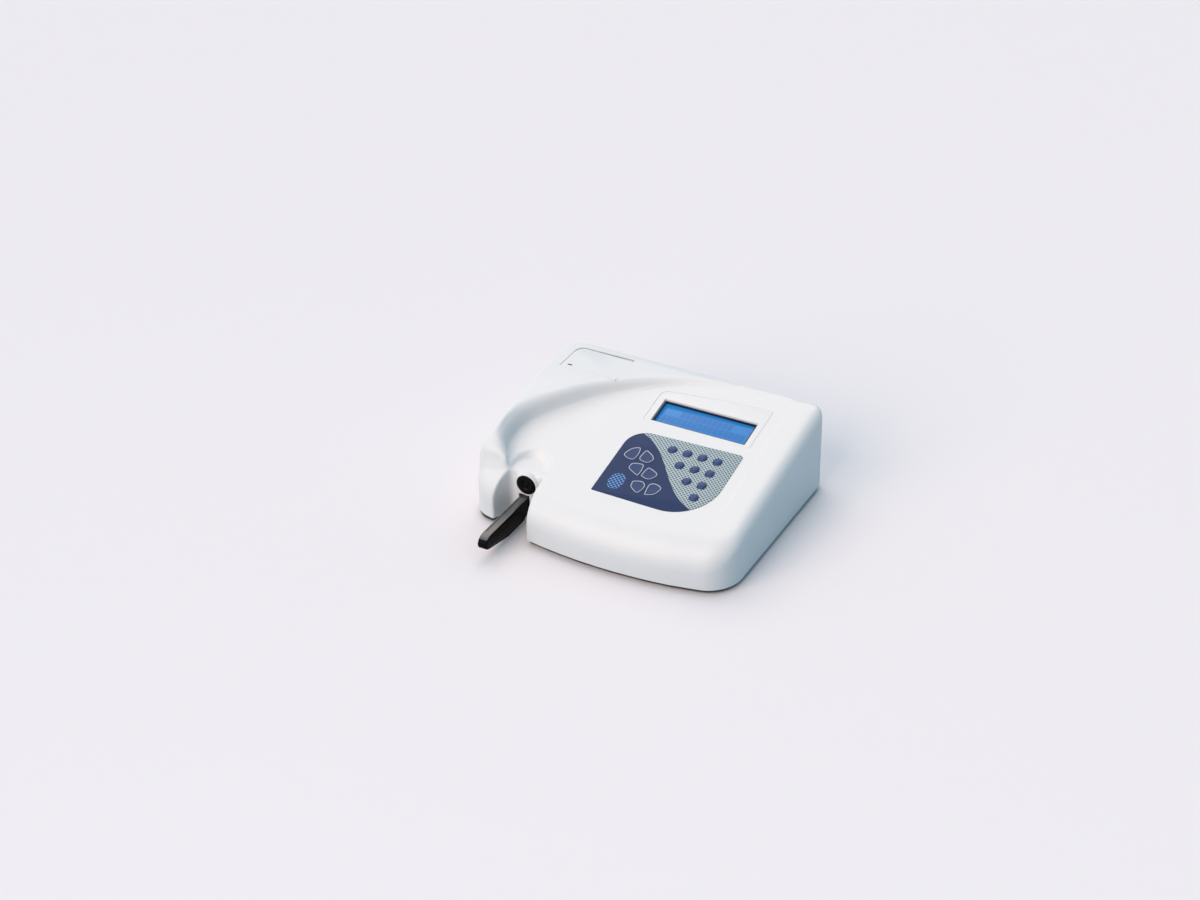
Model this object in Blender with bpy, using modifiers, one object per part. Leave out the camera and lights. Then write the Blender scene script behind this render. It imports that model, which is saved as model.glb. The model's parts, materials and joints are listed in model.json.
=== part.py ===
"""Bench-top urine analyzer with a sliding strip tray, a membrane keypad and a built-in printer.

All lengths are in metres, +Z is up and the front faces -Y. The analyzer stands on the plane Z = 0 with the
middle of its box over the origin. Each object is one piece of the real thing, and an object that moves has
its origin on its joint's axis.
"""

import math

import bmesh
import bpy
from mathutils import Matrix, Vector

# Body
BODY_WIDTH = 0.290
BODY_DEPTH = 0.2375
TOP_HEIGHT = 0.0973
SKIRT_HEIGHT = 0.006
WALL = 0.0025
FRONT_CURVE_RADIUS = 0.490
FRONT_APEX_SHARE = 0.063
FRONT_ARC_SHARES = (-0.38, -0.27, -0.15, -0.03, 0.09, 0.21, 0.30)
REAR_LEFT_RADIUS = 0.024
REAR_RIGHT_RADIUS = 0.012
FRONT_LEFT_RADIUS = 0.030
FRONT_RIGHT_RADIUS = 0.055

# Sloping operating panel
PANEL_FRONT_HEIGHT = 0.0478
PANEL_BACK_DROP = 0.0014
SHOULDER_FRONT = 0.028
SHOULDER_SIDE = 0.012
SHOULDER_BACK = 0.006
SHOULDER_TURN_POWER = 1.5

# Raised arm along the left side and the back. Crest points are (share of depth, share of the rise from
# the panel's front edge to the top)
ARM_CREST_SHARES = (
    (0.090, -0.848), (0.189, 0.312), (0.200, 0.469), (0.222, 0.593), (0.267, 0.695), (0.330, 0.772),
    (0.400, 0.831), (0.480, 0.894), (0.580, 0.953), (0.700, 1.000), (1.000, 1.000),
)
ARM_SIDE_EDGE = 0.0085
ARM_BACK_EDGE = 0.006
ARM_NOSE_EDGE = 0.008
ARM_END_FROM_RIGHT = 0.020
INNER_ARM_END_FROM_RIGHT = 0.120
ARM_NOSE_FROM_LEFT = 0.047
# The cove between arm and panel, as (share of width, share of depth), from the niche to the right
COVE_SHARES = (
    (0.115, 0.205), (0.083, 0.250), (0.062, 0.290), (0.053, 0.365), (0.066, 0.450), (0.103, 0.525),
    (0.160, 0.610), (0.235, 0.705), (0.330, 0.797), (0.450, 0.882), (0.590, 0.939), (0.740, 0.966),
)
COVE_BEND = 8
COVE_STEPS = 2
COVE_EDGE = 0.006
COVE_EDGE_SHARE = 0.45

# Niche at the left front, and the scoop round its button
NICHE_DEPTH = 0.0465
NICHE_LEFT = 0.0365
NICHE_SPLAY = math.radians(24.5)
NICHE_RIGHT = 0.074
NICHE_CORNER = 0.005
SCOOP_FROM_LEFT = 0.0535
SCOOP_FROM_FRONT = 0.0555
SCOOP_DEPTH = 0.00374
SCOOP_FLOOR_RADIUS = 0.0180
SCOOP_RIM_RADIUS = 0.0234
SCOOP_RIM_RISE = 0.0080

# Keypad, measured up the slope from the panel's front edge
KEYPAD_FROM_RIGHT = 0.045
KEYPAD_FROM_COVE = 0.0298
KEYPAD_FROM_BEZEL = 0.0117
KEYPAD_LENGTH = 0.0970
KEYPAD_SHARP_CORNER = 0.0015
KEYPAD_LEFT_CORNER = 0.022
KEYPAD_RIGHT_CORNER = 0.046
KEYPAD_TOP_CORNER = 0.004
OVERLAY_THICKNESS = 0.0008
OVERLAY_SINK = 0.0001
KEYPAD_LEDGE = 0.0035
KEYPAD_BOARD_THICKNESS = 0.0016
NUMBER_KEY_RADIUS = 0.00475
NUMBER_KEY_RISE = 0.0015
NUMBER_KEY_ROWS = 4
KEY_DOME_SHARE = 0.92
KEY_DOME_SHARES = (0.0, 0.35, 0.65, 0.88, 1.0)
FUNCTION_KEY_RISE = 0.0003
FUNCTION_KEY_CORNER = 0.0030
# Key places and pitches, as (share of the keypad's width, share of its length)
NUMBER_KEY_PITCH_SHARES = (0.13766, 0.18299)
NUMBER_KEY_CORNER_SHARES = (0.17155, 0.17938)
FUNCTION_KEY_PITCH_SHARES = (0.15816, 0.22474)
FUNCTION_KEY_CORNER_SHARES = (0.11464, 0.35258)
FUNCTION_KEY_SHIFT_SHARE = 0.10879
# A petal key's size, as shares of the pitch, and its corners, as shares of that size, for the six keys
PETAL_SIZE_SHARES = (0.7937, 0.6881)
PETAL_SHARES = (
    ((-0.48, -0.36), (0.45, -0.62), (0.42, 0.70)), ((-0.50, -0.48), (0.56, -0.55), (-0.36, 0.66)),
    ((-0.60, 0.50), (0.42, -0.68), (0.52, 0.56)), ((-0.56, -0.46), (0.62, -0.42), (-0.38, 0.60)),
    ((-0.58, 0.50), (0.34, -0.68), (0.52, 0.54)), ((-0.46, -0.66), (0.52, 0.58), (-0.46, 0.58)),
)
KEY_CLEARANCE = 0.0003
KEY_FLANGE_REACH = 0.0011
KEY_FLANGE_THICKNESS = 0.0005

# Display
BEZEL_FROM_FRONT = 0.1572
BEZEL_LENGTH = 0.0581
BEZEL_LEFT_DROP = 0.0115
BEZEL_OVERHANG = 0.0015
BEZEL_CORNER = 0.0035
BEZEL_LEFT_CORNER = 0.008
BEZEL_SINK = 0.0003
BEZEL_FLANGE = 0.0011
BEZEL_SEAT = 0.0030
BEZEL_FUNNEL_WALL = 0.0016
WINDOW_FROM_RIGHT = 0.053
WINDOW_FROM_KEYPAD_LEFT = 0.0105
WINDOW_FROM_BEZEL_FRONT = 0.0040
WINDOW_LENGTH = 0.0306
WINDOW_DEPTH = 0.0042
GLASS_THICKNESS = 0.0011
GLASS_MARGIN = 0.0024
MODULE_HEIGHT = 0.0075
MODULE_MARGIN = 0.0040
MODULE_BOARD_SIDE_MARGIN = 0.0105
MODULE_BOARD_END_MARGIN = 0.0067
MODULE_BOARD_THICKNESS = 0.0016
MODULE_POST_RADIUS = 0.0026
MODULE_POST_INSET = 0.0036

# Strip tray
TRAY_FROM_LEFT = 0.051
TRAY_WIDTH = 0.010
TRAY_TOP = 0.0275
TRAY_REACH = 0.037
TRAY_TAIL_FROM_NICHE = 0.088
TRAY_SHANK_HEIGHT = 0.0155
TRAY_KEEL_HEIGHT = 0.0223
TRAY_EDGE = 0.0012
# The nose and keel in profile, as (share of the nose length back from the tip, share of keel height down)
TRAY_NOSE_LENGTH = 0.0425
TRAY_NOSE_SHARES = (
    (0.224, 0.0), (0.110, 0.085), (0.035, 0.200), (0.0, 0.375), (0.050, 0.590), (0.190, 0.675), (1.0, 1.0),
)
TRAY_KEEL_END = 0.0035
TRAY_KEEL_RAMP = 0.006
GROOVE_WIDTH = 0.0060
GROOVE_DEPTH = 0.0010
GROOVE_FROM_TIP = 0.013
GROOVE_BEHIND_NICHE = 0.008
PAD_LENGTH = 0.009
PAD_THICKNESS = 0.0010
SLOT_CLEARANCE = 0.0007
TRAY_RIB = 0.0010
TRAY_RIB_HEIGHT = 0.0015
TRAY_RIB_FROM_TOP = 0.0115
GUIDE_WALL = 0.0028
GUIDE_TOP_DROP = 0.0015
GUIDE_RACK_ROOM = 0.0034
GUIDE_LIP = 0.005
LEFT_GUIDE_LENGTH = 0.061
RIGHT_GUIDE_LENGTH = 0.162

# Rack and drive gear
GEAR_MODULE = 0.0013
GEAR_TEETH = 20
GEAR_THICKNESS = 0.005
GEAR_FROM_NICHE = 0.082
RACK_TEETH = 20
RACK_HEIGHT = 0.006
RACK_BELOW_TOP = 0.0105
BACKLASH = 0.0003
TIP_SHARE = 0.40
ROOT_SHARE = 1.38
DEDENDUM_SHARE = 1.25
GEAR_HUB_RADIUS = 0.005
GEAR_HUB_HEIGHT = 0.003
SHAFT_RADIUS = 0.0025
SHAFT_RUNNING_GAP = 0.0003
SHAFT_IN_MOTOR = 0.008
MOTOR_SIZE = 0.035
MOTOR_HEIGHT = 0.026
MOTOR_EDGE = 0.003

# Brackets over the tray
BRACKET_SHEET = 0.002
BRACKET_OVER_TRAY = 0.002
BRACKET_SIDE_ROOM = 0.0030
MOTOR_BRACKET_LENGTH = 0.038
MOTOR_BRACKET_LEFT_ROOM = 0.0075
HEAD_BRACKET_FROM_NICHE = 0.0085
HEAD_BRACKET_LENGTH = 0.046
HEAD_WIDTH = 0.022
HEAD_LENGTH = 0.024
HEAD_HEIGHT = 0.0175
HEAD_FROM_NICHE = 0.026
HEAD_SNOUT_WIDTH = 0.010
HEAD_SNOUT_LENGTH = 0.012
HEAD_SNOUT_SHARE = 0.72
HEAD_EDGE = 0.0015

# Start button
BUTTON_FROM_LEFT = 0.0554
BUTTON_BELOW_SCOOP = 0.0116
BUTTON_RADIUS = 0.0106
BUTTON_CAP = 0.0024
BUTTON_DIMPLE_SHARE = 0.42
BUTTON_DIMPLE_FLOOR_SHARE = 0.336
BUTTON_DIMPLE_DEPTH = 0.0006
BUTTON_EDGE_SHARE = 0.5
# The cap's rim, as (share of the edge inwards, share of the edge up from the cap's back)
BUTTON_RIM_SHARES = ((1.0, 1.88), (0.3, 1.5), (0.0, 0.6))
BUTTON_TRAVEL = 0.0012
BUTTON_STEM_RADIUS = 0.0068
BUTTON_FLANGE_RADIUS = 0.0082
BUTTON_FLANGE = 0.0012
SWITCH_WIDTH = 0.013
SWITCH_DEPTH = 0.006
SWITCH_OVER_BUTTON = 0.0061

# Base, feet and screws
BASE_HEIGHT = 0.002
BASE_THICKNESS = 0.0022
BASE_RIM_HEIGHT = 0.007
BASE_RIM = 0.0020
FOOT_RADIUS = 0.007
FOOT_EDGE = 0.0006
FOOT_INSET = 0.030
BOSS_RADIUS = 0.0042
BOSS_TOP = 0.040
BOSS_INSET = 0.0062
BOSS_SHARES = ((-1, 0.885), (1, 0.900), (-1, 0.310), (1, 0.320))
CUP_RADIUS = 0.0046
CUP_HEIGHT = 0.0105
SCREW_RADIUS = 0.0014
SCREW_HEAD_RADIUS = 0.0027
SCREW_HEAD_HEIGHT = 0.0020
SCREW_LENGTH = 0.012
SCREW_SLOT = 0.0008

# Main board and sockets
BOARD_FROM_LEFT = 0.083
BOARD_FROM_RIGHT = 0.029
BOARD_LENGTH = 0.160
BOARD_THICKNESS = 0.0016
BOARD_POST_HEIGHT = 0.006
BOARD_POST_RADIUS = 0.0035
BOARD_POST_INSET = 0.006
BOARD_CORNER = 0.003
# The sockets' places across the back, as shares of the board's width
SOCKET_PLACE_SHARES = (0.24, 0.44, 0.66)
READER_PORT_WIDTH = 0.0140
READER_PORT_HEIGHT = 0.0125
POWER_JACK_WIDTH = 0.0095
POWER_JACK_HEIGHT = 0.0110
SERIAL_PORT_WIDTH = 0.0310
SERIAL_PORT_HEIGHT = 0.0125
SOCKET_LENGTH = 0.015
SOCKET_MOUTH_DEPTH = 0.006
SOCKET_MOUTH_SHARE = 0.36
SOCKET_EDGE = 0.0006
SWITCH_FROM_RIGHT = 0.034
POWER_SWITCH_HEIGHT = 0.046
SWITCH_FLANGE = 0.0012
SWITCH_FLANGE_WIDTH = 0.0130
SWITCH_FLANGE_HEIGHT = 0.0190
SWITCH_BODY_LENGTH = 0.014
SWITCH_FRAME_WALL = 0.0010
ROCKER_TILT = math.radians(7.0)
ROCKER_DEPTH = 0.0070
ROCKER_PIVOT_DEPTH = 0.0072
ROCKER_ROOM = 0.0011

# Printer
COVER_LEFT = 0.017
COVER_FROM_COVE = 0.0147
COVER_FROM_BACK = 0.0135
COVER_LENGTH = 0.0415
COVER_THICKNESS = 0.0024
COVER_SINK = 0.0002
COVER_CORNER = 0.010
COVER_RIGHT_CORNER = 0.002
BARREL_INSET = 0.002
COVER_EDGE = 0.0008
HINGE_DROP = 0.0018
HINGE_BARREL = 0.0017
HINGE_SEAT = 0.003
HINGE_LUMP = 0.0026
PIN_RADIUS = 0.0007
PAPER_GAP = 0.0017
WINDOW_PILL_LENGTH = 0.0046
WINDOW_PILL_WIDTH = 0.0020
PILL_FROM_LEFT = 0.0087
PILL_FROM_FRONT = 0.0060
CHASSIS_WALL = 0.0018
CHASSIS_DEPTH = 0.0475
CHASSIS_FRONT_ROOM = 0.0042
ROLL_RADIUS = 0.0165
ROLL_BORE = 0.0065
ROLL_ROOM = 0.0075
ROLL_FROM_HINGE = 0.0228
ROLL_BELOW_TOP = 0.0315
SPINDLE_END_RADIUS = 0.0030
PLATEN_RADIUS = 0.0048
PLATEN_ROOM = 0.0110
PLATEN_FROM_EDGE = 0.0062
PLATEN_DROP = 0.0088
PLATEN_END_RADIUS = 0.0015
EAR_THICKNESS = 0.0016
EAR_RADIUS = 0.0032
HEAD_PLATE_THICKNESS = 0.0020
HEAD_PLATE_HEIGHT = 0.0120
TEAR_BAR_THICKNESS = 0.0006
TEAR_BAR_SINK = 0.0004

# Fits and mesh detail
GAP = 0.0003
LAP = 0.00005
OVERRUN = 0.002
WELD = 0.000001
SCREW_MERGE = 0.00001
ARC_STEP = math.radians(15.0)
CROWN_STEPS = 3
PIN_SIDES = 16
DISC_SIDES = 20
FINE_SIDES = 32
ROUND_SIDES = 24
SMALL_SIDES = 12
SMOOTH_ANGLE = math.radians(35.0)

# Finishes: colour, roughness, metallic
FINISHES = {
    "housing_white": ((0.86, 0.87, 0.88), 0.42, 0.0),
    "base_dark": ((0.05, 0.06, 0.06), 0.55, 0.0),
    "rubber_black": ((0.02, 0.02, 0.02), 0.80, 0.0),
    "bezel_white": ((0.84, 0.85, 0.87), 0.40, 0.0),
    "display_blue": ((0.02, 0.18, 0.50), 0.12, 0.0),
    "overlay_navy": ((0.03, 0.05, 0.15), 0.45, 0.0),
    "key_navy": ((0.04, 0.07, 0.20), 0.30, 0.0),
    "petal_navy": ((0.06, 0.08, 0.16), 0.45, 0.0),
    "gloss_black": ((0.01, 0.01, 0.01), 0.10, 0.0),
    "pad_white": ((0.90, 0.90, 0.88), 0.60, 0.0),
    "circuit_green": ((0.02, 0.16, 0.07), 0.50, 0.0),
    "tin_plate": ((0.62, 0.63, 0.64), 0.30, 1.0),
    "steel": ((0.55, 0.56, 0.58), 0.28, 1.0),
    "gear_nylon": ((0.80, 0.78, 0.70), 0.50, 0.0),
    "part_black": ((0.03, 0.03, 0.03), 0.50, 0.0),
    "paper": ((0.88, 0.88, 0.86), 0.85, 0.0),
}

# Places that several pieces share
LEFT = -BODY_WIDTH / 2
RIGHT = BODY_WIDTH / 2
FRONT = -BODY_DEPTH / 2
BACK = BODY_DEPTH / 2
SLOPE = (TOP_HEIGHT - PANEL_BACK_DROP - PANEL_FRONT_HEIGHT) / BODY_DEPTH
PANEL_TILT = math.atan(SLOPE)
SCOOP_FLOOR_HEIGHT = PANEL_FRONT_HEIGHT + SLOPE * SCOOP_FROM_FRONT - SCOOP_DEPTH
BUTTON_HEIGHT = SCOOP_FLOOR_HEIGHT - BUTTON_BELOW_SCOOP
NICHE_BACK = FRONT + NICHE_DEPTH
TIP = FRONT - TRAY_REACH
TRAY_X = LEFT + TRAY_FROM_LEFT
TRAY_LEFT = TRAY_X - TRAY_WIDTH / 2
TRAY_RIGHT = TRAY_X + TRAY_WIDTH / 2
TRAY_TAIL = NICHE_BACK + TRAY_TAIL_FROM_NICHE
BASE_TOP = BASE_HEIGHT + BASE_THICKNESS
RACK_PITCH = math.pi * GEAR_MODULE
PITCH_RADIUS = GEAR_MODULE * GEAR_TEETH / 2
GEAR_X = TRAY_LEFT - DEDENDUM_SHARE * GEAR_MODULE - PITCH_RADIUS
GEAR_Y = NICHE_BACK + GEAR_FROM_NICHE
RACK_TOP = TRAY_TOP - RACK_BELOW_TOP + RACK_HEIGHT / 2
GEAR_Z = RACK_TOP - RACK_HEIGHT / 2
COVE_BEND_X = LEFT + BODY_WIDTH * COVE_SHARES[COVE_BEND][0]
KEYPAD_RIGHT = RIGHT - KEYPAD_FROM_RIGHT
KEYPAD_LEFT = COVE_BEND_X + KEYPAD_FROM_COVE
KEYPAD_WIDTH = KEYPAD_RIGHT - KEYPAD_LEFT
KEYPAD_BACK = BEZEL_FROM_FRONT - KEYPAD_FROM_BEZEL
KEYPAD_FRONT = KEYPAD_BACK - KEYPAD_LENGTH
KEYPAD_SIZE = Vector((KEYPAD_WIDTH, KEYPAD_LENGTH))
NUMBER_KEY_PITCH = KEYPAD_SIZE * Vector(NUMBER_KEY_PITCH_SHARES)
OVERLAY_BOTTOM = -OVERLAY_SINK - OVERLAY_THICKNESS
WINDOW_LEFT = KEYPAD_LEFT + WINDOW_FROM_KEYPAD_LEFT
WINDOW_WIDTH = RIGHT - WINDOW_FROM_RIGHT - WINDOW_LEFT
MODULE_BOARD_WIDTH = WINDOW_WIDTH + 2 * MODULE_BOARD_SIDE_MARGIN
MODULE_BOARD_LENGTH = WINDOW_LENGTH + 2 * MODULE_BOARD_END_MARGIN
BOARD_WIDTH = BODY_WIDTH - BOARD_FROM_LEFT - BOARD_FROM_RIGHT
COVER_WIDTH = COVE_BEND_X - COVER_FROM_COVE - LEFT - COVER_LEFT
ROLL_WIDTH = COVER_WIDTH - ROLL_ROOM
PLATEN_LENGTH = COVER_WIDTH - PLATEN_ROOM
COVER_FRONT = BACK - COVER_FROM_BACK - COVER_LENGTH
COVER_BACK = BACK - COVER_FROM_BACK
COVER_TOP = TOP_HEIGHT - COVER_SINK
COVER_X = LEFT + COVER_LEFT + COVER_WIDTH / 2
HINGE_Y = COVER_FRONT + HINGE_DROP
HINGE_Z = COVER_TOP - HINGE_DROP
PLATEN_Y = COVER_BACK - PLATEN_FROM_EDGE
PLATEN_Z = COVER_TOP - PLATEN_DROP
ROLL_Y = HINGE_Y + ROLL_FROM_HINGE
ROLL_Z = TOP_HEIGHT - ROLL_BELOW_TOP
# Each socket: name, place share, width, height
SOCKETS = (
    ("reader_port", SOCKET_PLACE_SHARES[0], READER_PORT_WIDTH, READER_PORT_HEIGHT),
    ("power_jack", SOCKET_PLACE_SHARES[1], POWER_JACK_WIDTH, POWER_JACK_HEIGHT),
    ("serial_port", SOCKET_PLACE_SHARES[2], SERIAL_PORT_WIDTH, SERIAL_PORT_HEIGHT),
)


# Scene and materials

def clear_scene():
    for obj in list(bpy.data.objects):
        bpy.data.objects.remove(obj, do_unlink=True)


def collection(name):
    made = bpy.data.collections.new(name)
    bpy.context.scene.collection.children.link(made)
    return made


def finish(name):
    """The Principled material of this finish, made once."""
    if name in bpy.data.materials:
        return bpy.data.materials[name]
    colour, roughness, metallic = FINISHES[name]
    made = bpy.data.materials.new(name)
    made.use_nodes = True
    shader = made.node_tree.nodes["Principled BSDF"]
    shader.inputs["Base Color"].default_value = (*colour, 1.0)
    shader.inputs["Roughness"].default_value = roughness
    shader.inputs["Metallic"].default_value = metallic
    made.diffuse_color = (*colour, 1.0)
    return made


def add_object(name, mesh, finish_name=None, parent=None):
    """A part with its own finish, or a cutter if it has none."""
    obj = bpy.data.objects.new(name, mesh)
    if finish_name is None:
        CUTTERS.objects.link(obj)
        obj.hide_render = True
        obj.display_type = "WIRE"
    else:
        PARTS.objects.link(obj)
        mesh.materials.append(finish(finish_name))
    obj.parent = parent if parent else ORIGIN
    return obj


# Outlines

def rounded(corners, step=ARC_STEP):
    """The closed outline through (x, y, radius) corners, each rounded by an arc that its sides allow."""
    points = []
    for index, (x, y, radius) in enumerate(corners):
        corner = Vector((x, y))
        before = Vector(corners[index - 1][:2]) - corner
        after = Vector(corners[(index + 1) % len(corners)][:2]) - corner
        turn = math.pi - before.angle(after)
        reach = radius * math.tan(turn / 2)
        if reach <= 0 or turn < step / 2:
            points.append((x, y))
            continue
        reach = min(reach, before.length / 2, after.length / 2)
        start = corner + before.normalized() * reach
        end = corner + after.normalized() * reach
        inward = (before.normalized() + after.normalized()).normalized()
        middle = corner + inward * reach / math.sin(turn / 2)
        first = math.atan2(start.y - middle.y, start.x - middle.x)
        sweep = math.atan2(end.y - middle.y, end.x - middle.x) - first
        sweep = (sweep + math.pi) % (2 * math.pi) - math.pi
        radius = (start - middle).length
        steps = max(2, math.ceil(turn / step))
        for index_on_arc in range(steps + 1):
            angle = first + sweep * index_on_arc / steps
            points.append((middle.x + radius * math.cos(angle), middle.y + radius * math.sin(angle)))
    return points


def mitres(points):
    """For each corner of an anticlockwise outline, the move that shifts both its sides inwards by one."""
    found = []
    for index, point in enumerate(points):
        here = Vector(point)
        before = (here - Vector(points[index - 1])).normalized()
        after = (Vector(points[(index + 1) % len(points)]) - here).normalized()
        inward = Vector((-before.y, before.x)) + Vector((-after.y, after.x))
        found.append(inward * 2 / inward.length_squared)
    return found


def inset(points, distance):
    """The outline moved inwards by distance, or outwards if it is negative."""
    return [(x + move.x * distance, y + move.y * distance) for (x, y), move in zip(points, mitres(points))]


def rounded_inset(corners, distance):
    """The outline of the (x, y, radius) corners moved inwards by distance, its arcs keeping their centres."""
    shifted = inset([(x, y) for x, y, _ in corners], distance)
    return rounded([(x, y, max(corner[2] - distance, 0.0)) for (x, y), corner in zip(shifted, corners)])


def rectangle(low_x, low_y, high_x, high_y, radius=0.0):
    corners = ((low_x, low_y), (high_x, low_y), (high_x, high_y), (low_x, high_y))
    return rounded([(x, y, radius) for x, y in corners])


def circle(x, y, radius, sides=ROUND_SIDES):
    turns = [2 * math.pi * index / sides for index in range(sides)]
    return [(x + radius * math.cos(turn), y + radius * math.sin(turn)) for turn in turns]


def smooth_through(points, steps):
    """Catmull-Rom points through the given ones, with this many steps in each span."""
    padded = [points[0], *points, points[-1]]
    found = []
    for index in range(len(points) - 1):
        a, b, c, d = (Vector(point) for point in padded[index:index + 4])
        for step in range(steps):
            t = step / steps
            curved = 2 * b + (c - a) * t
            curved += (2 * a - 5 * b + 4 * c - d) * t ** 2 + (3 * b - a - 3 * c + d) * t ** 3
            found.append(tuple(curved / 2))
    return found + [tuple(points[-1])]


# Solids

def flat_mesh(name, outlines, low, high):
    """The first outline, with the others as holes, filled and given its thickness from low to high."""
    curve = bpy.data.curves.new(name, "CURVE")
    curve.dimensions = "2D"
    curve.fill_mode = "BOTH"
    curve.extrude = (high - low) / 2
    for outline in outlines:
        spline = curve.splines.new("POLY")
        spline.points.add(len(outline) - 1)
        for point, (x, y) in zip(spline.points, outline):
            point.co = (x, y, 0.0, 1.0)
        spline.use_cyclic_u = True
    drawn = bpy.data.objects.new(name, curve)
    CUTTERS.objects.link(drawn)
    graph = bpy.context.evaluated_depsgraph_get()
    mesh = bpy.data.meshes.new_from_object(drawn.evaluated_get(graph))
    bpy.data.objects.remove(drawn)
    bm = bmesh.new()
    bm.from_mesh(mesh)
    bmesh.ops.remove_doubles(bm, verts=bm.verts, dist=WELD)
    bmesh.ops.recalc_face_normals(bm, faces=bm.faces)
    bmesh.ops.translate(bm, verts=bm.verts, vec=(0.0, 0.0, (low + high) / 2))
    bm.to_mesh(mesh)
    bm.free()
    mesh.materials.clear()
    return mesh


def plate(name, outlines, low, high, finish_name=None, parent=None):
    """A flat piece in the XY plane between two heights."""
    return add_object(name, flat_mesh(name, outlines, low, high), finish_name, parent)


def section_along_x(name, outline, low, high, finish_name=None, parent=None):
    """A (y, z) outline that runs along X from low to high."""
    mesh = flat_mesh(name, [outline], low, high)
    mesh.transform(Matrix(((0, 0, 1, 0), (1, 0, 0, 0), (0, 1, 0, 0), (0, 0, 0, 1))))
    return add_object(name, mesh, finish_name, parent)


def section_along_y(name, outline, low, high, finish_name=None, parent=None):
    """An (x, z) outline that runs along Y from low to high."""
    mesh = flat_mesh(name, [outline], -high, -low)
    mesh.transform(Matrix(((1, 0, 0, 0), (0, 0, -1, 0), (0, 1, 0, 0), (0, 0, 0, 1))))
    return add_object(name, mesh, finish_name, parent)


def block(name, low, high, finish_name=None, parent=None, edge=0.0):
    """A box between two corners, its object at its centre, with its edges rounded."""
    size = [b - a for a, b in zip(low, high)]
    bm = bmesh.new()
    bmesh.ops.create_cube(bm, size=1.0)
    bmesh.ops.scale(bm, vec=size, verts=bm.verts)
    mesh = bpy.data.meshes.new(name)
    bm.to_mesh(mesh)
    bm.free()
    obj = add_object(name, mesh, finish_name, parent)
    obj.location = [(a + b) / 2 for a, b in zip(low, high)]
    if edge > 0:
        round_edges(obj, edge)
    return obj


def turned(name, profile, finish_name=None, parent=None, sides=ROUND_SIDES):
    """A (radius, height) profile turned about Z, down its outer side. It is closed or ends on the axis."""
    mesh = bpy.data.meshes.new(name)
    edges = [(index, index + 1) for index in range(len(profile) - 1)]
    if profile[0][0] > 0:
        edges.append((len(profile) - 1, 0))
    mesh.from_pydata([(radius, 0.0, height) for radius, height in profile], edges, [])
    obj = add_object(name, mesh, finish_name, parent)
    screw = obj.modifiers.new("turn", "SCREW")
    screw.steps = sides
    screw.render_steps = sides
    screw.use_merge_vertices = True
    screw.merge_threshold = SCREW_MERGE
    return obj


def rod(name, radius, low, high, finish_name=None, parent=None, sides=ROUND_SIDES):
    """A plain round bar along Z from low to high."""
    bm = bmesh.new()
    bmesh.ops.create_cone(
        bm, cap_ends=True, segments=sides, radius1=radius, radius2=radius, depth=high - low
    )
    bmesh.ops.translate(bm, verts=bm.verts, vec=(0.0, 0.0, (low + high) / 2))
    mesh = bpy.data.meshes.new(name)
    bm.to_mesh(mesh)
    bm.free()
    return add_object(name, mesh, finish_name, parent)


def along_x(obj, place):
    obj.rotation_euler = (0.0, math.pi / 2, 0.0)
    obj.location = place
    return obj


def towards_front(obj, place):
    """Turns the object's +Z to face the front."""
    obj.rotation_euler = (math.pi / 2, 0.0, 0.0)
    obj.location = place
    return obj


def at(obj, place):
    obj.location = place
    return obj


def round_edges(obj, width, segments=2):
    bevel = obj.modifiers.new("rounded edges", "BEVEL")
    bevel.width = width
    bevel.segments = segments
    bevel.limit_method = "ANGLE"
    bevel.angle_limit = SMOOTH_ANGLE
    return obj


def cut(obj, *cutters):
    for cutter in cutters:
        modifier = obj.modifiers.new("cut " + cutter.name, "BOOLEAN")
        modifier.operation = "DIFFERENCE"
        modifier.object = cutter
    return obj


def join(obj, *others):
    for other in others:
        modifier = obj.modifiers.new("join " + other.name, "BOOLEAN")
        modifier.operation = "UNION"
        modifier.object = other
    return obj


def crowned(name, outline, radii, height, breaks, bottom, finish_name=None):
    """A closed body over outline: its top follows height(y), and radii round its rim. Height is straight
    between the breaks, and the walls run down to bottom."""
    deepest = TOP_HEIGHT
    moves = mitres(outline)
    bm = bmesh.new()
    layers = [(0.0, None)]
    for step in range(CROWN_STEPS + 1):
        angle = math.pi / 2 * step / CROWN_STEPS
        layers.append((1 - math.cos(angle), 1 - math.sin(angle)))
    rings = []
    for inward, drop in layers:
        ring = []
        for (x, y), move, radius in zip(outline, moves, radii):
            z = -deepest if drop is None else -radius * drop
            ring.append(bm.verts.new((x + move.x * radius * inward, y + move.y * radius * inward, z)))
        rings.append(ring)
    for lower, upper in zip(rings, rings[1:]):
        for index in range(len(outline)):
            bm.faces.new((lower[index - 1], lower[index], upper[index], upper[index - 1]))
    bm.faces.new(list(reversed(rings[0])))
    bm.faces.new(rings[-1])
    for y in breaks:
        everything = bm.verts[:] + bm.edges[:] + bm.faces[:]
        place = (0.0, y, 0.0)
        bmesh.ops.bisect_plane(bm, geom=everything, dist=WELD, plane_co=place, plane_no=(0.0, 1.0, 0.0))
    for vertex in bm.verts:
        if vertex.co.z < GAP - deepest:
            vertex.co.z = bottom
        else:
            vertex.co.z += height(vertex.co.y)
    bmesh.ops.triangulate(bm, faces=bm.faces)
    bmesh.ops.recalc_face_normals(bm, faces=bm.faces)
    mesh = bpy.data.meshes.new(name)
    bm.to_mesh(mesh)
    bm.free()
    return add_object(name, mesh, finish_name)


# Body forms

def panel_height(y):
    return PANEL_FRONT_HEIGHT + SLOPE * (y - FRONT)


def crest_points():
    rise = TOP_HEIGHT - PANEL_FRONT_HEIGHT
    return [(FRONT + BODY_DEPTH * along, PANEL_FRONT_HEIGHT + rise * up) for along, up in ARM_CREST_SHARES]


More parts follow.
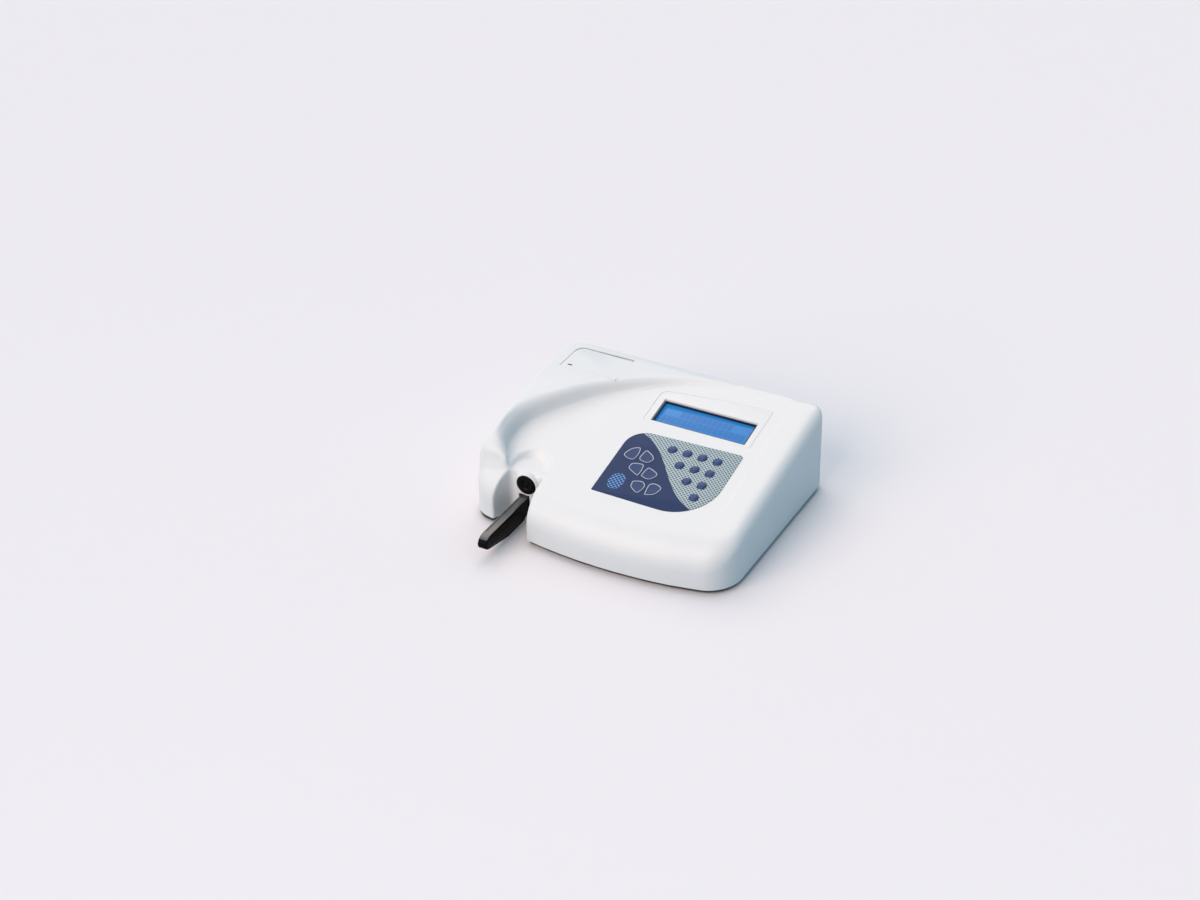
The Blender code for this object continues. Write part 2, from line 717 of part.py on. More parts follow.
def crest_height(y):
    points = crest_points()
    for (y0, z0), (y1, z1) in zip(points, points[1:]):
        if y < y1 or (y1, z1) == points[-1]:
            return z0 + (z1 - z0) * (y - y0) / (y1 - y0)


def front_line(x):
    """The front's shallow curve in plan."""
    return FRONT + (x - FRONT_APEX_SHARE * BODY_WIDTH) ** 2 / (2 * FRONT_CURVE_RADIUS)


def body_outline():
    corners = [
        (RIGHT, BACK, REAR_RIGHT_RADIUS),
        (LEFT, BACK, REAR_LEFT_RADIUS),
        (LEFT, front_line(LEFT), FRONT_LEFT_RADIUS),
    ]
    corners += [(share * BODY_WIDTH, front_line(share * BODY_WIDTH), 0.0) for share in FRONT_ARC_SHARES]
    corners.append((RIGHT, front_line(RIGHT), FRONT_RIGHT_RADIUS))
    return rounded(corners)


def shoulder_radii(outline, wall):
    """The panel body's rim: wide at the front, narrow at the sides, least at the back."""
    radii = []
    for move in mitres(outline):
        facing_front = max(0.0, move.normalized().y)
        facing_back = max(0.0, -move.normalized().y)
        radius = SHOULDER_SIDE + (SHOULDER_FRONT - SHOULDER_SIDE) * facing_front ** SHOULDER_TURN_POWER
        radius += (SHOULDER_BACK - SHOULDER_SIDE) * facing_back
        radii.append(max(radius - wall, GAP))
    return radii


def arm_outline(end_from_right):
    """The raised arm in plan with its rim radii, from its right end round the back and the nose."""
    end = RIGHT - end_from_right
    nose = LEFT + ARM_NOSE_FROM_LEFT
    cove = [(LEFT + BODY_WIDTH * across, FRONT + BODY_DEPTH * along) for across, along in COVE_SHARES]
    cove = smooth_through(cove, COVE_STEPS)
    kept = [point for point in cove if point[0] < end - COVE_EDGE]
    last = cove[min(len(kept), len(cove) - 1)][1]
    corners = [
        (end, last, 0.0),
        (end, BACK, 0.0),
        (LEFT, BACK, REAR_LEFT_RADIUS),
        (LEFT, front_line(LEFT), FRONT_LEFT_RADIUS),
        (nose, front_line(nose), 0.0),
    ]
    outline = inset(rounded(corners), LAP)
    radii = []
    for x, y in outline:
        if y > BACK - REAR_LEFT_RADIUS / 2:
            radii.append(ARM_BACK_EDGE)
        elif x < LEFT + FRONT_LEFT_RADIUS / 4:
            radii.append(ARM_SIDE_EDGE)
        else:
            radii.append(ARM_NOSE_EDGE)
    for x, y in kept:
        outline.append((x, y))
        radii.append(min(COVE_EDGE, COVE_EDGE_SHARE * (crest_height(y) - panel_height(y))))
    radii[0] = radii[-1]
    radii[1] = radii[-1]
    return outline, radii


def arm_body(name, wall, end_from_right, bottom):
    outline, radii = arm_outline(end_from_right)
    outline = inset(outline, wall)
    radii = [max(radius - wall, GAP) for radius in radii]
    breaks = [y for y, _ in crest_points()]
    return crowned(name, outline, radii, lambda y: crest_height(y) - wall, breaks, bottom)


def panel_body(name, wall, bottom, finish_name=None):
    outline = inset(body_outline(), wall)
    drop = wall / math.cos(PANEL_TILT)
    radii = shoulder_radii(outline, wall)
    return crowned(name, outline, radii, lambda y: panel_height(y) - drop, [], bottom, finish_name)


def niche_outline(grow):
    """The niche in plan, open past the front, with its walls moved out by grow."""
    past = FRONT - NICHE_DEPTH
    left = LEFT + NICHE_LEFT
    splay = math.tan(NICHE_SPLAY) * (NICHE_BACK - past)
    corners = [
        (left, NICHE_BACK, NICHE_CORNER),
        (left - splay, past, 0.0),
        (LEFT + NICHE_RIGHT, past, 0.0),
        (LEFT + NICHE_RIGHT, NICHE_BACK, NICHE_CORNER),
    ]
    return inset(rounded(corners), -grow)


def niche_body(name, grow, bottom, top):
    return plate(name, [niche_outline(grow)], bottom, top)


def scoop_body(name, grow):
    rim = SCOOP_FLOOR_HEIGHT - grow + SCOOP_RIM_RISE
    high = TOP_HEIGHT + OVERRUN
    profile = [
        (0.0, high),
        (SCOOP_RIM_RADIUS + grow, high),
        (SCOOP_RIM_RADIUS + grow, rim),
        (SCOOP_FLOOR_RADIUS + grow, SCOOP_FLOOR_HEIGHT - grow),
        (0.0, SCOOP_FLOOR_HEIGHT - grow),
    ]
    place = (LEFT + SCOOP_FROM_LEFT, FRONT + SCOOP_FROM_FRONT, 0.0)
    return at(turned(name, profile, sides=FINE_SIDES), place)


def boss_places():
    for side, along in BOSS_SHARES:
        yield side * (RIGHT - BOSS_INSET), FRONT + BODY_DEPTH * along


# Outlines on the panel, in its own frame

def keypad_outline(grow=0.0):
    corners = [
        (KEYPAD_LEFT, KEYPAD_FRONT, KEYPAD_SHARP_CORNER),
        (KEYPAD_RIGHT, KEYPAD_FRONT - KEYPAD_SHARP_CORNER, KEYPAD_RIGHT_CORNER),
        (KEYPAD_RIGHT, KEYPAD_BACK, KEYPAD_TOP_CORNER),
        (KEYPAD_LEFT, KEYPAD_BACK - KEYPAD_TOP_CORNER, KEYPAD_LEFT_CORNER),
    ]
    return rounded_inset(corners, -grow)


def bezel_outline(grow=0.0):
    left = KEYPAD_LEFT + BEZEL_OVERHANG
    back = BEZEL_FROM_FRONT + BEZEL_LENGTH
    corners = [
        (left, BEZEL_FROM_FRONT, BEZEL_CORNER),
        (KEYPAD_RIGHT, BEZEL_FROM_FRONT, BEZEL_CORNER),
        (KEYPAD_RIGHT, back, BEZEL_CORNER),
        ((left + KEYPAD_RIGHT) / 2, back - BEZEL_LEFT_DROP / 3, 0.0),
        (left, back - BEZEL_LEFT_DROP, BEZEL_LEFT_CORNER),
    ]
    return rounded_inset(corners, -grow)


def window_outline(grow=0.0):
    right = WINDOW_LEFT + WINDOW_WIDTH
    front = BEZEL_FROM_FRONT + WINDOW_FROM_BEZEL_FRONT
    return rectangle(WINDOW_LEFT - grow, front - grow, right + grow, front + WINDOW_LENGTH + grow)


def number_key_places():
    """Places of the number keys, in a triangle that narrows towards the front right."""
    corner = KEYPAD_SIZE * Vector(NUMBER_KEY_CORNER_SHARES)
    for row in range(NUMBER_KEY_ROWS):
        for column in range(row, NUMBER_KEY_ROWS):
            x = KEYPAD_RIGHT - corner.x - (NUMBER_KEY_ROWS - 1 - column) * NUMBER_KEY_PITCH.x
            yield x, KEYPAD_BACK - corner.y - row * NUMBER_KEY_PITCH.y


def function_key_places():
    """Places of the petal keys, in two columns that lean to the right towards the front."""
    corner = KEYPAD_SIZE * Vector(FUNCTION_KEY_CORNER_SHARES)
    pitch = KEYPAD_SIZE * Vector(FUNCTION_KEY_PITCH_SHARES)
    shift = KEYPAD_WIDTH * FUNCTION_KEY_SHIFT_SHARE
    for index in range(len(PETAL_SHARES)):
        row, column = divmod(index, 2)
        x = KEYPAD_LEFT + corner.x + column * pitch.x + row * shift
        yield x, KEYPAD_BACK - corner.y - row * pitch.y


def petal_outline(index, grow=0.0):
    size = KEYPAD_SIZE * Vector(FUNCTION_KEY_PITCH_SHARES) * Vector(PETAL_SIZE_SHARES)
    corners = [(x * size.x, y * size.y, FUNCTION_KEY_CORNER) for x, y in PETAL_SHARES[index]]
    return inset(rounded(corners, ARC_STEP * 2), -grow)


def moved(outline, x, y):
    return [(px + x, py + y) for px, py in outline]


def guide_sides():
    """The outer sides of the left and the right tray guide."""
    return TRAY_LEFT - GUIDE_RACK_ROOM - GUIDE_WALL, TRAY_RIGHT + GAP + TRAY_RIB + GUIDE_WALL


# Pieces of the casing

def make_upper_housing():
    """The white shell: two crowned forms joined, hollowed, and opened for what it holds."""
    below = crest_height(FRONT) - ARM_NOSE_EDGE - OVERRUN
    lowest = below - OVERRUN
    high = TOP_HEIGHT + OVERRUN
    housing = panel_body("upper_housing", 0.0, below, "housing_white")
    join(housing, arm_body("arm_form", 0.0, ARM_END_FROM_RIGHT, below))
    far = BODY_WIDTH + BODY_DEPTH
    cut(housing, block("below_skirt", (-far, -far, lowest), (far, far, SKIRT_HEIGHT)))
    cut(housing, niche_body("niche_space", 0.0, below, high), scoop_body("scoop_space", 0.0))

    hollow = panel_body("hollow", WALL, below)
    join(hollow, arm_body("arm_hollow", WALL, INNER_ARM_END_FROM_RIGHT, below))
    cut(hollow, niche_body("niche_walls", WALL, lowest, high), scoop_body("scoop_walls", WALL))
    boss_low = BASE_HEIGHT + CUP_HEIGHT - BASE_THICKNESS + GAP
    for index, (x, y) in enumerate(boss_places()):
        boss = rod(f"boss_{index}", BOSS_RADIUS, boss_low, BOSS_TOP, sides=SMALL_SIDES)
        cut(hollow, at(boss, (x, y, 0.0)))
    post_low = module_board_top() + GAP
    for index, (x, y) in enumerate(module_post_places()):
        name = f"display_post_{index}"
        post = rod(name, MODULE_POST_RADIUS, post_low, 0.0, parent=PANEL, sides=SMALL_SIDES)
        cut(hollow, at(post, (x, y, 0.0)))
    for side, name in ((-1, "left"), (1, "right")):
        near = COVER_X + side * (COVER_WIDTH / 2 + 2 * GAP)
        far_x = near + side * (HINGE_SEAT + WALL)
        low = (min(near, far_x), HINGE_Y - HINGE_LUMP, HINGE_Z - HINGE_LUMP)
        cut(hollow, block(f"hinge_lump_{name}", low, (max(near, far_x), HINGE_Y + HINGE_LUMP, TOP_HEIGHT)))
    cut(housing, hollow)

    pilot_top = BASE_HEIGHT + SCREW_LENGTH + OVERRUN
    for index, (x, y) in enumerate(boss_places()):
        pilot = rod(f"pilot_{index}", SCREW_RADIUS + GAP, 0.0, pilot_top, sides=SMALL_SIDES)
        cut(housing, at(pilot, (x, y, 0.0)))
    slot_low = (TRAY_LEFT - SLOT_CLEARANCE, NICHE_BACK - OVERRUN, 0.0)
    slot_high = (TRAY_RIGHT + SLOT_CLEARANCE, NICHE_BACK + WALL + OVERRUN, TRAY_TOP + SLOT_CLEARANCE)
    cut(housing, block("tray_slot", slot_low, slot_high))
    hole = rod("button_hole", BUTTON_STEM_RADIUS + GAP, -WALL - OVERRUN, OVERRUN)
    cut(housing, towards_front(hole, (LEFT + BUTTON_FROM_LEFT, NICHE_BACK, BUTTON_HEIGHT)))

    seat = OVERLAY_BOTTOM - GAP
    cut(housing, plate("keypad_seat", [keypad_outline(GAP)], seat, OVERRUN, parent=PANEL))
    cut(housing, plate("keypad_opening", [keypad_outline(-KEYPAD_LEDGE)], -2 * WALL, OVERRUN, parent=PANEL))
    bezel_seat = -BEZEL_SINK - BEZEL_FLANGE - GAP
    cut(housing, plate("bezel_seat", [bezel_outline(GAP)], bezel_seat, OVERRUN, parent=PANEL))
    cut(housing, plate("bezel_opening", [window_outline(BEZEL_SEAT)], -2 * WALL, OVERRUN, parent=PANEL))
    cut_printer_bay(housing)
    cut_rear_openings(housing)
    return housing


def cover_outline(grow=0.0, back=0.0):
    """The lid in plan. Its front corners are square, so that they clear the opening as it turns."""
    left = COVER_X - COVER_WIDTH / 2
    right = COVER_X + COVER_WIDTH / 2
    corners = [
        (left - grow, COVER_FRONT - grow, 0.0),
        (right + grow, COVER_FRONT - grow, 0.0),
        (right + grow, COVER_BACK + back, COVER_RIGHT_CORNER),
        (left - grow, COVER_BACK + back, COVER_CORNER),
    ]
    return rounded(corners)


def cut_printer_bay(housing):
    opening = cover_outline(GAP, PAPER_GAP)
    cut(housing, plate("cover_opening", [opening], TOP_HEIGHT - WALL - OVERRUN, TOP_HEIGHT + OVERRUN))
    half = COVER_WIDTH / 2 + HINGE_SEAT + GAP
    seat = rod("pin_seat", PIN_RADIUS + GAP, -half, half, sides=SMALL_SIDES)
    cut(housing, along_x(seat, (COVER_X, HINGE_Y, HINGE_Z)))


def socket_centre(share):
    return LEFT + BOARD_FROM_LEFT + BOARD_WIDTH * share


def board_top():
    return BASE_TOP + BOARD_POST_HEIGHT + GAP + BOARD_THICKNESS


def cut_rear_openings(housing):
    for name, share, width, height in SOCKETS:
        x = socket_centre(share)
        z = board_top() + GAP
        low = (x - width / 2 - GAP, BACK - WALL - OVERRUN, z - GAP)
        high = (x + width / 2 + GAP, BACK + OVERRUN, z + height + GAP)
        cut(housing, block(name + "_opening", low, high))
    x = RIGHT - SWITCH_FROM_RIGHT
    for name, spare, depth in (
        ("switch_seat", GAP, SWITCH_FLANGE + GAP),
        ("switch_hole", -BEZEL_FLANGE, WALL + OVERRUN),
    ):
        half_width = SWITCH_FLANGE_WIDTH / 2 + spare
        half_height = SWITCH_FLANGE_HEIGHT / 2 + spare
        low = (x - half_width, BACK - depth, POWER_SWITCH_HEIGHT - half_height)
        high = (x + half_width, BACK + OVERRUN, POWER_SWITCH_HEIGHT + half_height)
        cut(housing, block(name, low, high))


def make_base_cover():
    """The dark tray under the shell, with a low rim, screw cups and board posts."""
    edge = WALL + GAP
    top = BASE_HEIGHT + BASE_RIM_HEIGHT
    base = plate("base_cover", [inset(body_outline(), edge)], BASE_HEIGHT, top, "base_dark")
    cut(base, niche_body("base_niche", edge, -OVERRUN, top + OVERRUN))
    floor = BASE_TOP
    inside = plate("base_inside", [inset(body_outline(), edge + BASE_RIM)], floor, top + OVERRUN)
    cut(inside, niche_body("base_niche_rim", edge + BASE_RIM, 0.0, top + 2 * OVERRUN))
    cups = []
    root = floor - BASE_THICKNESS / 2
    for index, (x, y) in enumerate(boss_places()):
        cup = rod(f"cup_{index}", CUP_RADIUS, root, CUP_HEIGHT, sides=PIN_SIDES)
        cups.append(at(cup, (x, y, 0.0)))
    for index, (x, y) in enumerate(board_post_places()):
        name = f"board_post_{index}"
        post = rod(name, BOARD_POST_RADIUS, root, floor + BOARD_POST_HEIGHT, sides=SMALL_SIDES)
        cups.append(at(post, (x, y, 0.0)))
    cut(base, inside)
    join(base, *cups)
    ring = [inset(body_outline(), -edge), inset(body_outline(), edge + LAP)]
    cut(base, plate("cup_trim", ring, 0.0, CUP_HEIGHT + OVERRUN))
    guide_left, guide_right = guide_sides()
    low = (guide_left - GAP, NICHE_BACK, floor)
    high = (guide_right + GAP, NICHE_BACK + edge + BASE_RIM + OVERRUN, top + OVERRUN)
    cut(base, block("guide_notch", low, high))
    for index, (x, y) in enumerate(boss_places()):
        head = BASE_HEIGHT + SCREW_HEAD_HEIGHT + GAP
        profile = [
            (0.0, CUP_HEIGHT + OVERRUN),
            (SCREW_RADIUS + GAP, CUP_HEIGHT + OVERRUN),
            (SCREW_RADIUS + GAP, head + GAP),
            (SCREW_HEAD_RADIUS + GAP, head + GAP),
            (SCREW_HEAD_RADIUS + GAP, 0.0),
            (0.0, 0.0),
        ]
        cut(base, at(turned(f"screw_well_{index}", profile, sides=SMALL_SIDES), (x, y, 0.0)))
    return base


def make_feet():
    y_low = FRONT + FOOT_INSET + SHOULDER_FRONT
    y_high = BACK - FOOT_INSET
    places = {
        "foot_rear_left": (LEFT + FOOT_INSET, y_high),
        "foot_rear_right": (RIGHT - FOOT_INSET, y_high),
        "foot_front_left": (LEFT + NICHE_RIGHT + FOOT_INSET, y_low),
        "foot_front_right": (RIGHT - FOOT_INSET, y_low),
    }
    high = BASE_HEIGHT - GAP
    profile = [
        (0.0, high),
        (FOOT_RADIUS, high),
        (FOOT_RADIUS, FOOT_EDGE),
        (FOOT_RADIUS - FOOT_EDGE, 0.0),
        (0.0, 0.0),
    ]
    for name, (x, y) in places.items():
        at(turned(name, profile, "rubber_black"), (x, y, 0.0))


def make_screws():
    head_top = BASE_HEIGHT + SCREW_HEAD_HEIGHT
    profile = [
        (0.0, BASE_HEIGHT + SCREW_LENGTH),
        (SCREW_RADIUS, BASE_HEIGHT + SCREW_LENGTH),
        (SCREW_RADIUS, head_top),
        (SCREW_HEAD_RADIUS, head_top),
        (SCREW_HEAD_RADIUS, BASE_HEIGHT + GAP),
        (0.0, BASE_HEIGHT + GAP),
    ]
    reach = SCREW_HEAD_RADIUS + OVERRUN
    for index, (x, y) in enumerate(boss_places()):
        screw = at(turned(f"case_screw_{index + 1}", profile, "steel", sides=SMALL_SIDES), (x, y, 0.0))
        for turn, name in enumerate(("a", "b")):
            wide = reach if turn == 0 else SCREW_SLOT / 2
            deep = SCREW_SLOT / 2 if turn == 0 else reach
            low = (x - wide, y - deep, 0.0)
            high = (x + wide, y + deep, BASE_HEIGHT + SCREW_HEAD_HEIGHT / 2)
            cut(screw, block(f"screw_slot_{index + 1}_{name}", low, high))


# Keypad and display, in the panel's frame

def make_keypad():
    hole = NUMBER_KEY_RADIUS + KEY_CLEARANCE
    holes = [circle(x, y, hole, DISC_SIDES) for x, y in number_key_places()]
    for index, (x, y) in enumerate(function_key_places()):
        holes.append(moved(petal_outline(index, KEY_CLEARANCE), x, y))
    plate("keypad_overlay", [keypad_outline(), *holes], OVERLAY_BOTTOM, -OVERLAY_SINK, "overlay_navy", PANEL)
    top = -WALL - GAP
    board = [keypad_outline(WALL - KEYPAD_LEDGE)]
    plate("keypad_board", board, top - KEYPAD_BOARD_THICKNESS, top, "circuit_green", PANEL)

    flange_top = OVERLAY_BOTTOM - KEY_CLEARANCE
    flange = flange_top - KEY_FLANGE_THICKNESS
    radius = NUMBER_KEY_RADIUS
    rise = NUMBER_KEY_RISE
    dome = [(radius * out, rise * math.sqrt(1 - (KEY_DOME_SHARE * out) ** 2)) for out in KEY_DOME_SHARES]
    profile = dome + [
        (radius, flange_top),
        (radius + KEY_FLANGE_REACH, flange_top),
        (radius + KEY_FLANGE_REACH, flange),
        (0.0, flange),
    ]
    for index, (x, y) in enumerate(number_key_places()):
        name = f"key_{(index + 1) % 10}"
        at(turned(name, profile, "key_navy", PANEL, sides=PIN_SIDES), (x, y, 0.0))
    for index, (x, y) in enumerate(function_key_places()):
        outline = petal_outline(index)
        key = plate(f"function_key_{index + 1}", [outline], flange, FUNCTION_KEY_RISE, "petal_navy", PANEL)
        outline = petal_outline(index, KEY_FLANGE_REACH)
        wide = plate(f"function_flange_{index + 1}", [outline], flange + LAP, flange_top, parent=PANEL)
        join(at(key, (x, y, 0.0)), at(wide, (x, y, 0.0)))


def module_top():
    return -WINDOW_DEPTH - GAP


def module_board_top():
    return module_top() - MODULE_HEIGHT


def module_centre():
    front = BEZEL_FROM_FRONT + WINDOW_FROM_BEZEL_FRONT
    return WINDOW_LEFT + WINDOW_WIDTH / 2, front + WINDOW_LENGTH / 2


def module_post_places():
    x, y = module_centre()
    across = MODULE_BOARD_WIDTH / 2 - MODULE_POST_INSET
    along = MODULE_BOARD_LENGTH / 2 - MODULE_POST_INSET
    for side_x in (-1, 1):
        for side_y in (-1, 1):
            yield x + side_x * across, y + side_y * along


def make_display():
    top = -BEZEL_SINK
    bezel = plate("display_bezel", [bezel_outline()], top - BEZEL_FLANGE, top, "bezel_white", PANEL)
    outline = window_outline(BEZEL_FUNNEL_WALL)
    funnel = plate("bezel_funnel", [outline], -WINDOW_DEPTH, top - LAP, parent=PANEL)
    join(bezel, funnel)
    cut(bezel, plate("bezel_window", [window_outline()], -WINDOW_DEPTH - OVERRUN, OVERRUN, parent=PANEL))

    x, y = module_centre()
    glass_top = module_top()
    glass_bottom = glass_top - GLASS_THICKNESS
    plate("lcd_glass", [window_outline(GLASS_MARGIN)], glass_bottom, glass_top, "display_blue", PANEL)
    board_face = module_board_top()
    outline = window_outline(MODULE_MARGIN)
    can = plate("lcd_module", [outline], board_face - LAP, glass_top, "tin_plate", PANEL)
    seat = window_outline(GLASS_MARGIN + GAP)
    cut(can, plate("glass_seat", [seat], glass_bottom - GAP, glass_top + OVERRUN, parent=PANEL))
    half_x = MODULE_BOARD_WIDTH / 2
    half_y = MODULE_BOARD_LENGTH / 2
    outline = rectangle(x - half_x, y - half_y, x + half_x, y + half_y)
    board = plate("module_board", [outline], board_face - MODULE_BOARD_THICKNESS, board_face, parent=PANEL)
    join(can, board)


# Strip tray and its drive

def tray_profile():
    """The tray from its left side, as (y, z): a keeled nose in front and a level shank behind."""
    nose = [
        (TIP + along * TRAY_NOSE_LENGTH, TRAY_TOP - down * TRAY_KEEL_HEIGHT)
        for along, down in TRAY_NOSE_SHARES
    ]
    keel_end = NICHE_BACK - TRAY_KEEL_END
    return nose + [
        (keel_end - TRAY_KEEL_RAMP, TRAY_TOP - TRAY_KEEL_HEIGHT),
        (keel_end, TRAY_TOP - TRAY_SHANK_HEIGHT),
        (TRAY_TAIL, TRAY_TOP - TRAY_SHANK_HEIGHT),
        (TRAY_TAIL, TRAY_TOP),
    ]


def rack_outline():
    """The rack's teeth in plan, on the tray's left side. A space lies beside the gear's centre."""
    root = TRAY_LEFT
    tip = TRAY_LEFT - (1 + DEDENDUM_SHARE) * GEAR_MODULE
    thick = RACK_PITCH / 2 - BACKLASH
    points = []
    for tooth in range(RACK_TEETH):
        middle = GEAR_Y - (tooth - 0.5) * RACK_PITCH
        points += [
            (root, middle + thick * ROOT_SHARE / 2),
            (tip, middle + thick * TIP_SHARE / 2),
            (tip, middle - thick * TIP_SHARE / 2),
            (root, middle - thick * ROOT_SHARE / 2),
        ]
    into = TRAY_LEFT + TRAY_EDGE
    return points + [(into, points[-1][1]), (into, points[0][1])]


def make_tray():
    tray = section_along_x("strip_tray", tray_profile(), TRAY_LEFT, TRAY_RIGHT, "gloss_black")
    round_edges(tray, TRAY_EDGE)
    rack_low = RACK_TOP - RACK_HEIGHT
    join(tray, plate("rack_form", [rack_outline()], rack_low, RACK_TOP))
    rib_z = TRAY_TOP - TRAY_RIB_FROM_TOP
    rib_low = (TRAY_RIGHT - TRAY_EDGE, NICHE_BACK + WALL + OVERRUN, rib_z - TRAY_RIB_HEIGHT)
    rib_high = (TRAY_RIGHT + TRAY_RIB, TRAY_TAIL - TRAY_EDGE, rib_z)
    join(tray, block("tray_rib", rib_low, rib_high))
    groove_end = NICHE_BACK + GROOVE_BEHIND_NICHE
    half = GROOVE_WIDTH / 2
    low = (TRAY_X - half, TIP + GROOVE_FROM_TIP, TRAY_TOP - GROOVE_DEPTH)
    high = (TRAY_X + half, groove_end, TRAY_TOP + OVERRUN)
    cut(tray, block("strip_groove", low, high))
    pad_front = groove_end + OVERRUN
    pad_low = (TRAY_X - half, pad_front, TRAY_TOP - PAD_THICKNESS)
    pad_high = (TRAY_X + half, pad_front + PAD_LENGTH, TRAY_TOP - LAP)
    seat_low = [value - GAP for value in pad_low]
    seat_high = (pad_high[0] + GAP, pad_high[1] + GAP, TRAY_TOP + OVERRUN)
    cut(tray, block("pad_seat", seat_low, seat_high))
    block("calibration_pad", pad_low, pad_high, "pad_white")


def make_guides():
    front = NICHE_BACK + WALL + GAP
    low = BASE_TOP + GAP
    top = TRAY_TOP - GUIDE_TOP_DROP
    inner = TRAY_LEFT - GAP
    wall = TRAY_LEFT - GUIDE_RACK_ROOM
    outline = [
        (wall - GUIDE_WALL, low),
        (wall, low),
        (wall, top - GUIDE_LIP),
        (inner, top - GUIDE_LIP),
        (inner, top),
        (wall - GUIDE_WALL, top),
    ]
    section_along_y("tray_guide_left", outline, front, front + LEFT_GUIDE_LENGTH, "part_black")
    inner = TRAY_RIGHT + GAP
    rib_z = TRAY_TOP - TRAY_RIB_FROM_TOP
    groove = inner + TRAY_RIB
    outline = [
        (inner, low),
        (groove + GUIDE_WALL, low),
        (groove + GUIDE_WALL, top),
        (inner, top),
        (inner, rib_z + GAP),
        (groove, rib_z + GAP),
        (groove, rib_z - TRAY_RIB_HEIGHT - GAP),
        (inner, rib_z - TRAY_RIB_HEIGHT - GAP),
    ]
    section_along_y("tray_guide_right", outline, front, front + RIGHT_GUIDE_LENGTH, "part_black")


def gear_outline():
    """Teeth about the gear's own centre, one of them pointing along +X at the rack."""
    outer = PITCH_RADIUS + GEAR_MODULE
    root = PITCH_RADIUS - DEDENDUM_SHARE * GEAR_MODULE
    thick = RACK_PITCH / 2 - BACKLASH
    points = []
    for tooth in range(GEAR_TEETH):
        middle = 2 * math.pi * tooth / GEAR_TEETH
        corners = ((root, -ROOT_SHARE), (outer, -TIP_SHARE), (outer, TIP_SHARE), (root, ROOT_SHARE))
        for radius, share in corners:
            angle = middle + thick * share / 2 / radius
            points.append((radius * math.cos(angle), radius * math.sin(angle)))
    return points


def motor_bracket_low():
    return TRAY_TOP + BRACKET_OVER_TRAY


def make_drive():
    half = GEAR_THICKNESS / 2
    gear = plate("drive_gear", [gear_outline()], -half, half, "gear_nylon")
    hub = rod("gear_hub", GEAR_HUB_RADIUS, half - LAP, half + GEAR_HUB_HEIGHT, sides=SMALL_SIDES)
    motor_bottom = motor_bracket_low() + BRACKET_SHEET + GAP
    shaft_top = motor_bottom + SHAFT_IN_MOTOR - GAP - GEAR_Z
    shaft = rod("gear_shaft", SHAFT_RADIUS, -half - GEAR_HUB_HEIGHT, shaft_top, sides=SMALL_SIDES)
    place = (GEAR_X, GEAR_Y, GEAR_Z)
    join(at(gear, place), at(hub, place), at(shaft, place))

    low = (GEAR_X - MOTOR_SIZE / 2, GEAR_Y - MOTOR_SIZE / 2, motor_bottom)
    high = (GEAR_X + MOTOR_SIZE / 2, GEAR_Y + MOTOR_SIZE / 2, motor_bottom + MOTOR_HEIGHT)
    motor = block("tray_motor", low, high, "part_black", edge=MOTOR_EDGE)
    bore_low = motor_bottom - OVERRUN
    bore_high = motor_bottom + SHAFT_IN_MOTOR
    bore = rod("motor_bore", SHAFT_RADIUS + SHAFT_RUNNING_GAP, bore_low, bore_high, sides=SMALL_SIDES)
    cut(motor, at(bore, (GEAR_X, GEAR_Y, 0.0)))

    left = GEAR_X - MOTOR_SIZE / 2 - MOTOR_BRACKET_LEFT_ROOM + BRACKET_SHEET
    bracket = make_bridge("motor_bracket", left, GEAR_Y - MOTOR_BRACKET_LENGTH / 2, MOTOR_BRACKET_LENGTH)
    hole_low = motor_bracket_low() - OVERRUN
    hole = rod("shaft_hole", GEAR_HUB_RADIUS, hole_low, motor_bottom + OVERRUN, sides=SMALL_SIDES)
    cut(bracket, at(hole, (GEAR_X, GEAR_Y, 0.0)))


def make_bridge(name, left, front, length):
    """A sheet bent down at both sides, standing on the base and spanning the tray and its guides."""
    right = guide_sides()[1] + BRACKET_SIDE_ROOM
    low = BASE_TOP + GAP
    under = motor_bracket_low()
    top = under + BRACKET_SHEET
    outline = [
        (left, low),
        (left + BRACKET_SHEET, low),
        (left + BRACKET_SHEET, under),
        (right - BRACKET_SHEET, under),
        (right - BRACKET_SHEET, low),
        (right, low),
        (right, top),
        (left, top),
    ]
    return section_along_y(name, outline, front, front + length, "steel")


def make_reading_head():
    left = guide_sides()[0] - BRACKET_SIDE_ROOM
    bracket = make_bridge("head_bracket", left, NICHE_BACK + HEAD_BRACKET_FROM_NICHE, HEAD_BRACKET_LENGTH)
    bottom = motor_bracket_low() + BRACKET_SHEET + GAP
    front = NICHE_BACK + HEAD_FROM_NICHE
    low = (TRAY_X - HEAD_WIDTH / 2, front, bottom)
    high = (TRAY_X + HEAD_WIDTH / 2, front + HEAD_LENGTH, bottom + HEAD_HEIGHT)
    head = block("optical_head", low, high, "part_black", edge=HEAD_EDGE)
    middle = front + HEAD_LENGTH / 2
    snout_low = bottom - HEAD_SNOUT_SHARE * (bottom - TRAY_TOP)
    across = HEAD_SNOUT_WIDTH / 2
    along = HEAD_SNOUT_LENGTH / 2
    low = (TRAY_X - across, middle - along, snout_low)
    high = (TRAY_X + across, middle + along, bottom + HEAD_EDGE)
    join(head, block("head_snout", low, high))
    low = (TRAY_X - across - GAP, middle - along - GAP, snout_low - OVERRUN)
    high = (TRAY_X + across + GAP, middle + along + GAP, bottom + OVERRUN)
    cut(bracket, block("head_opening", low, high))


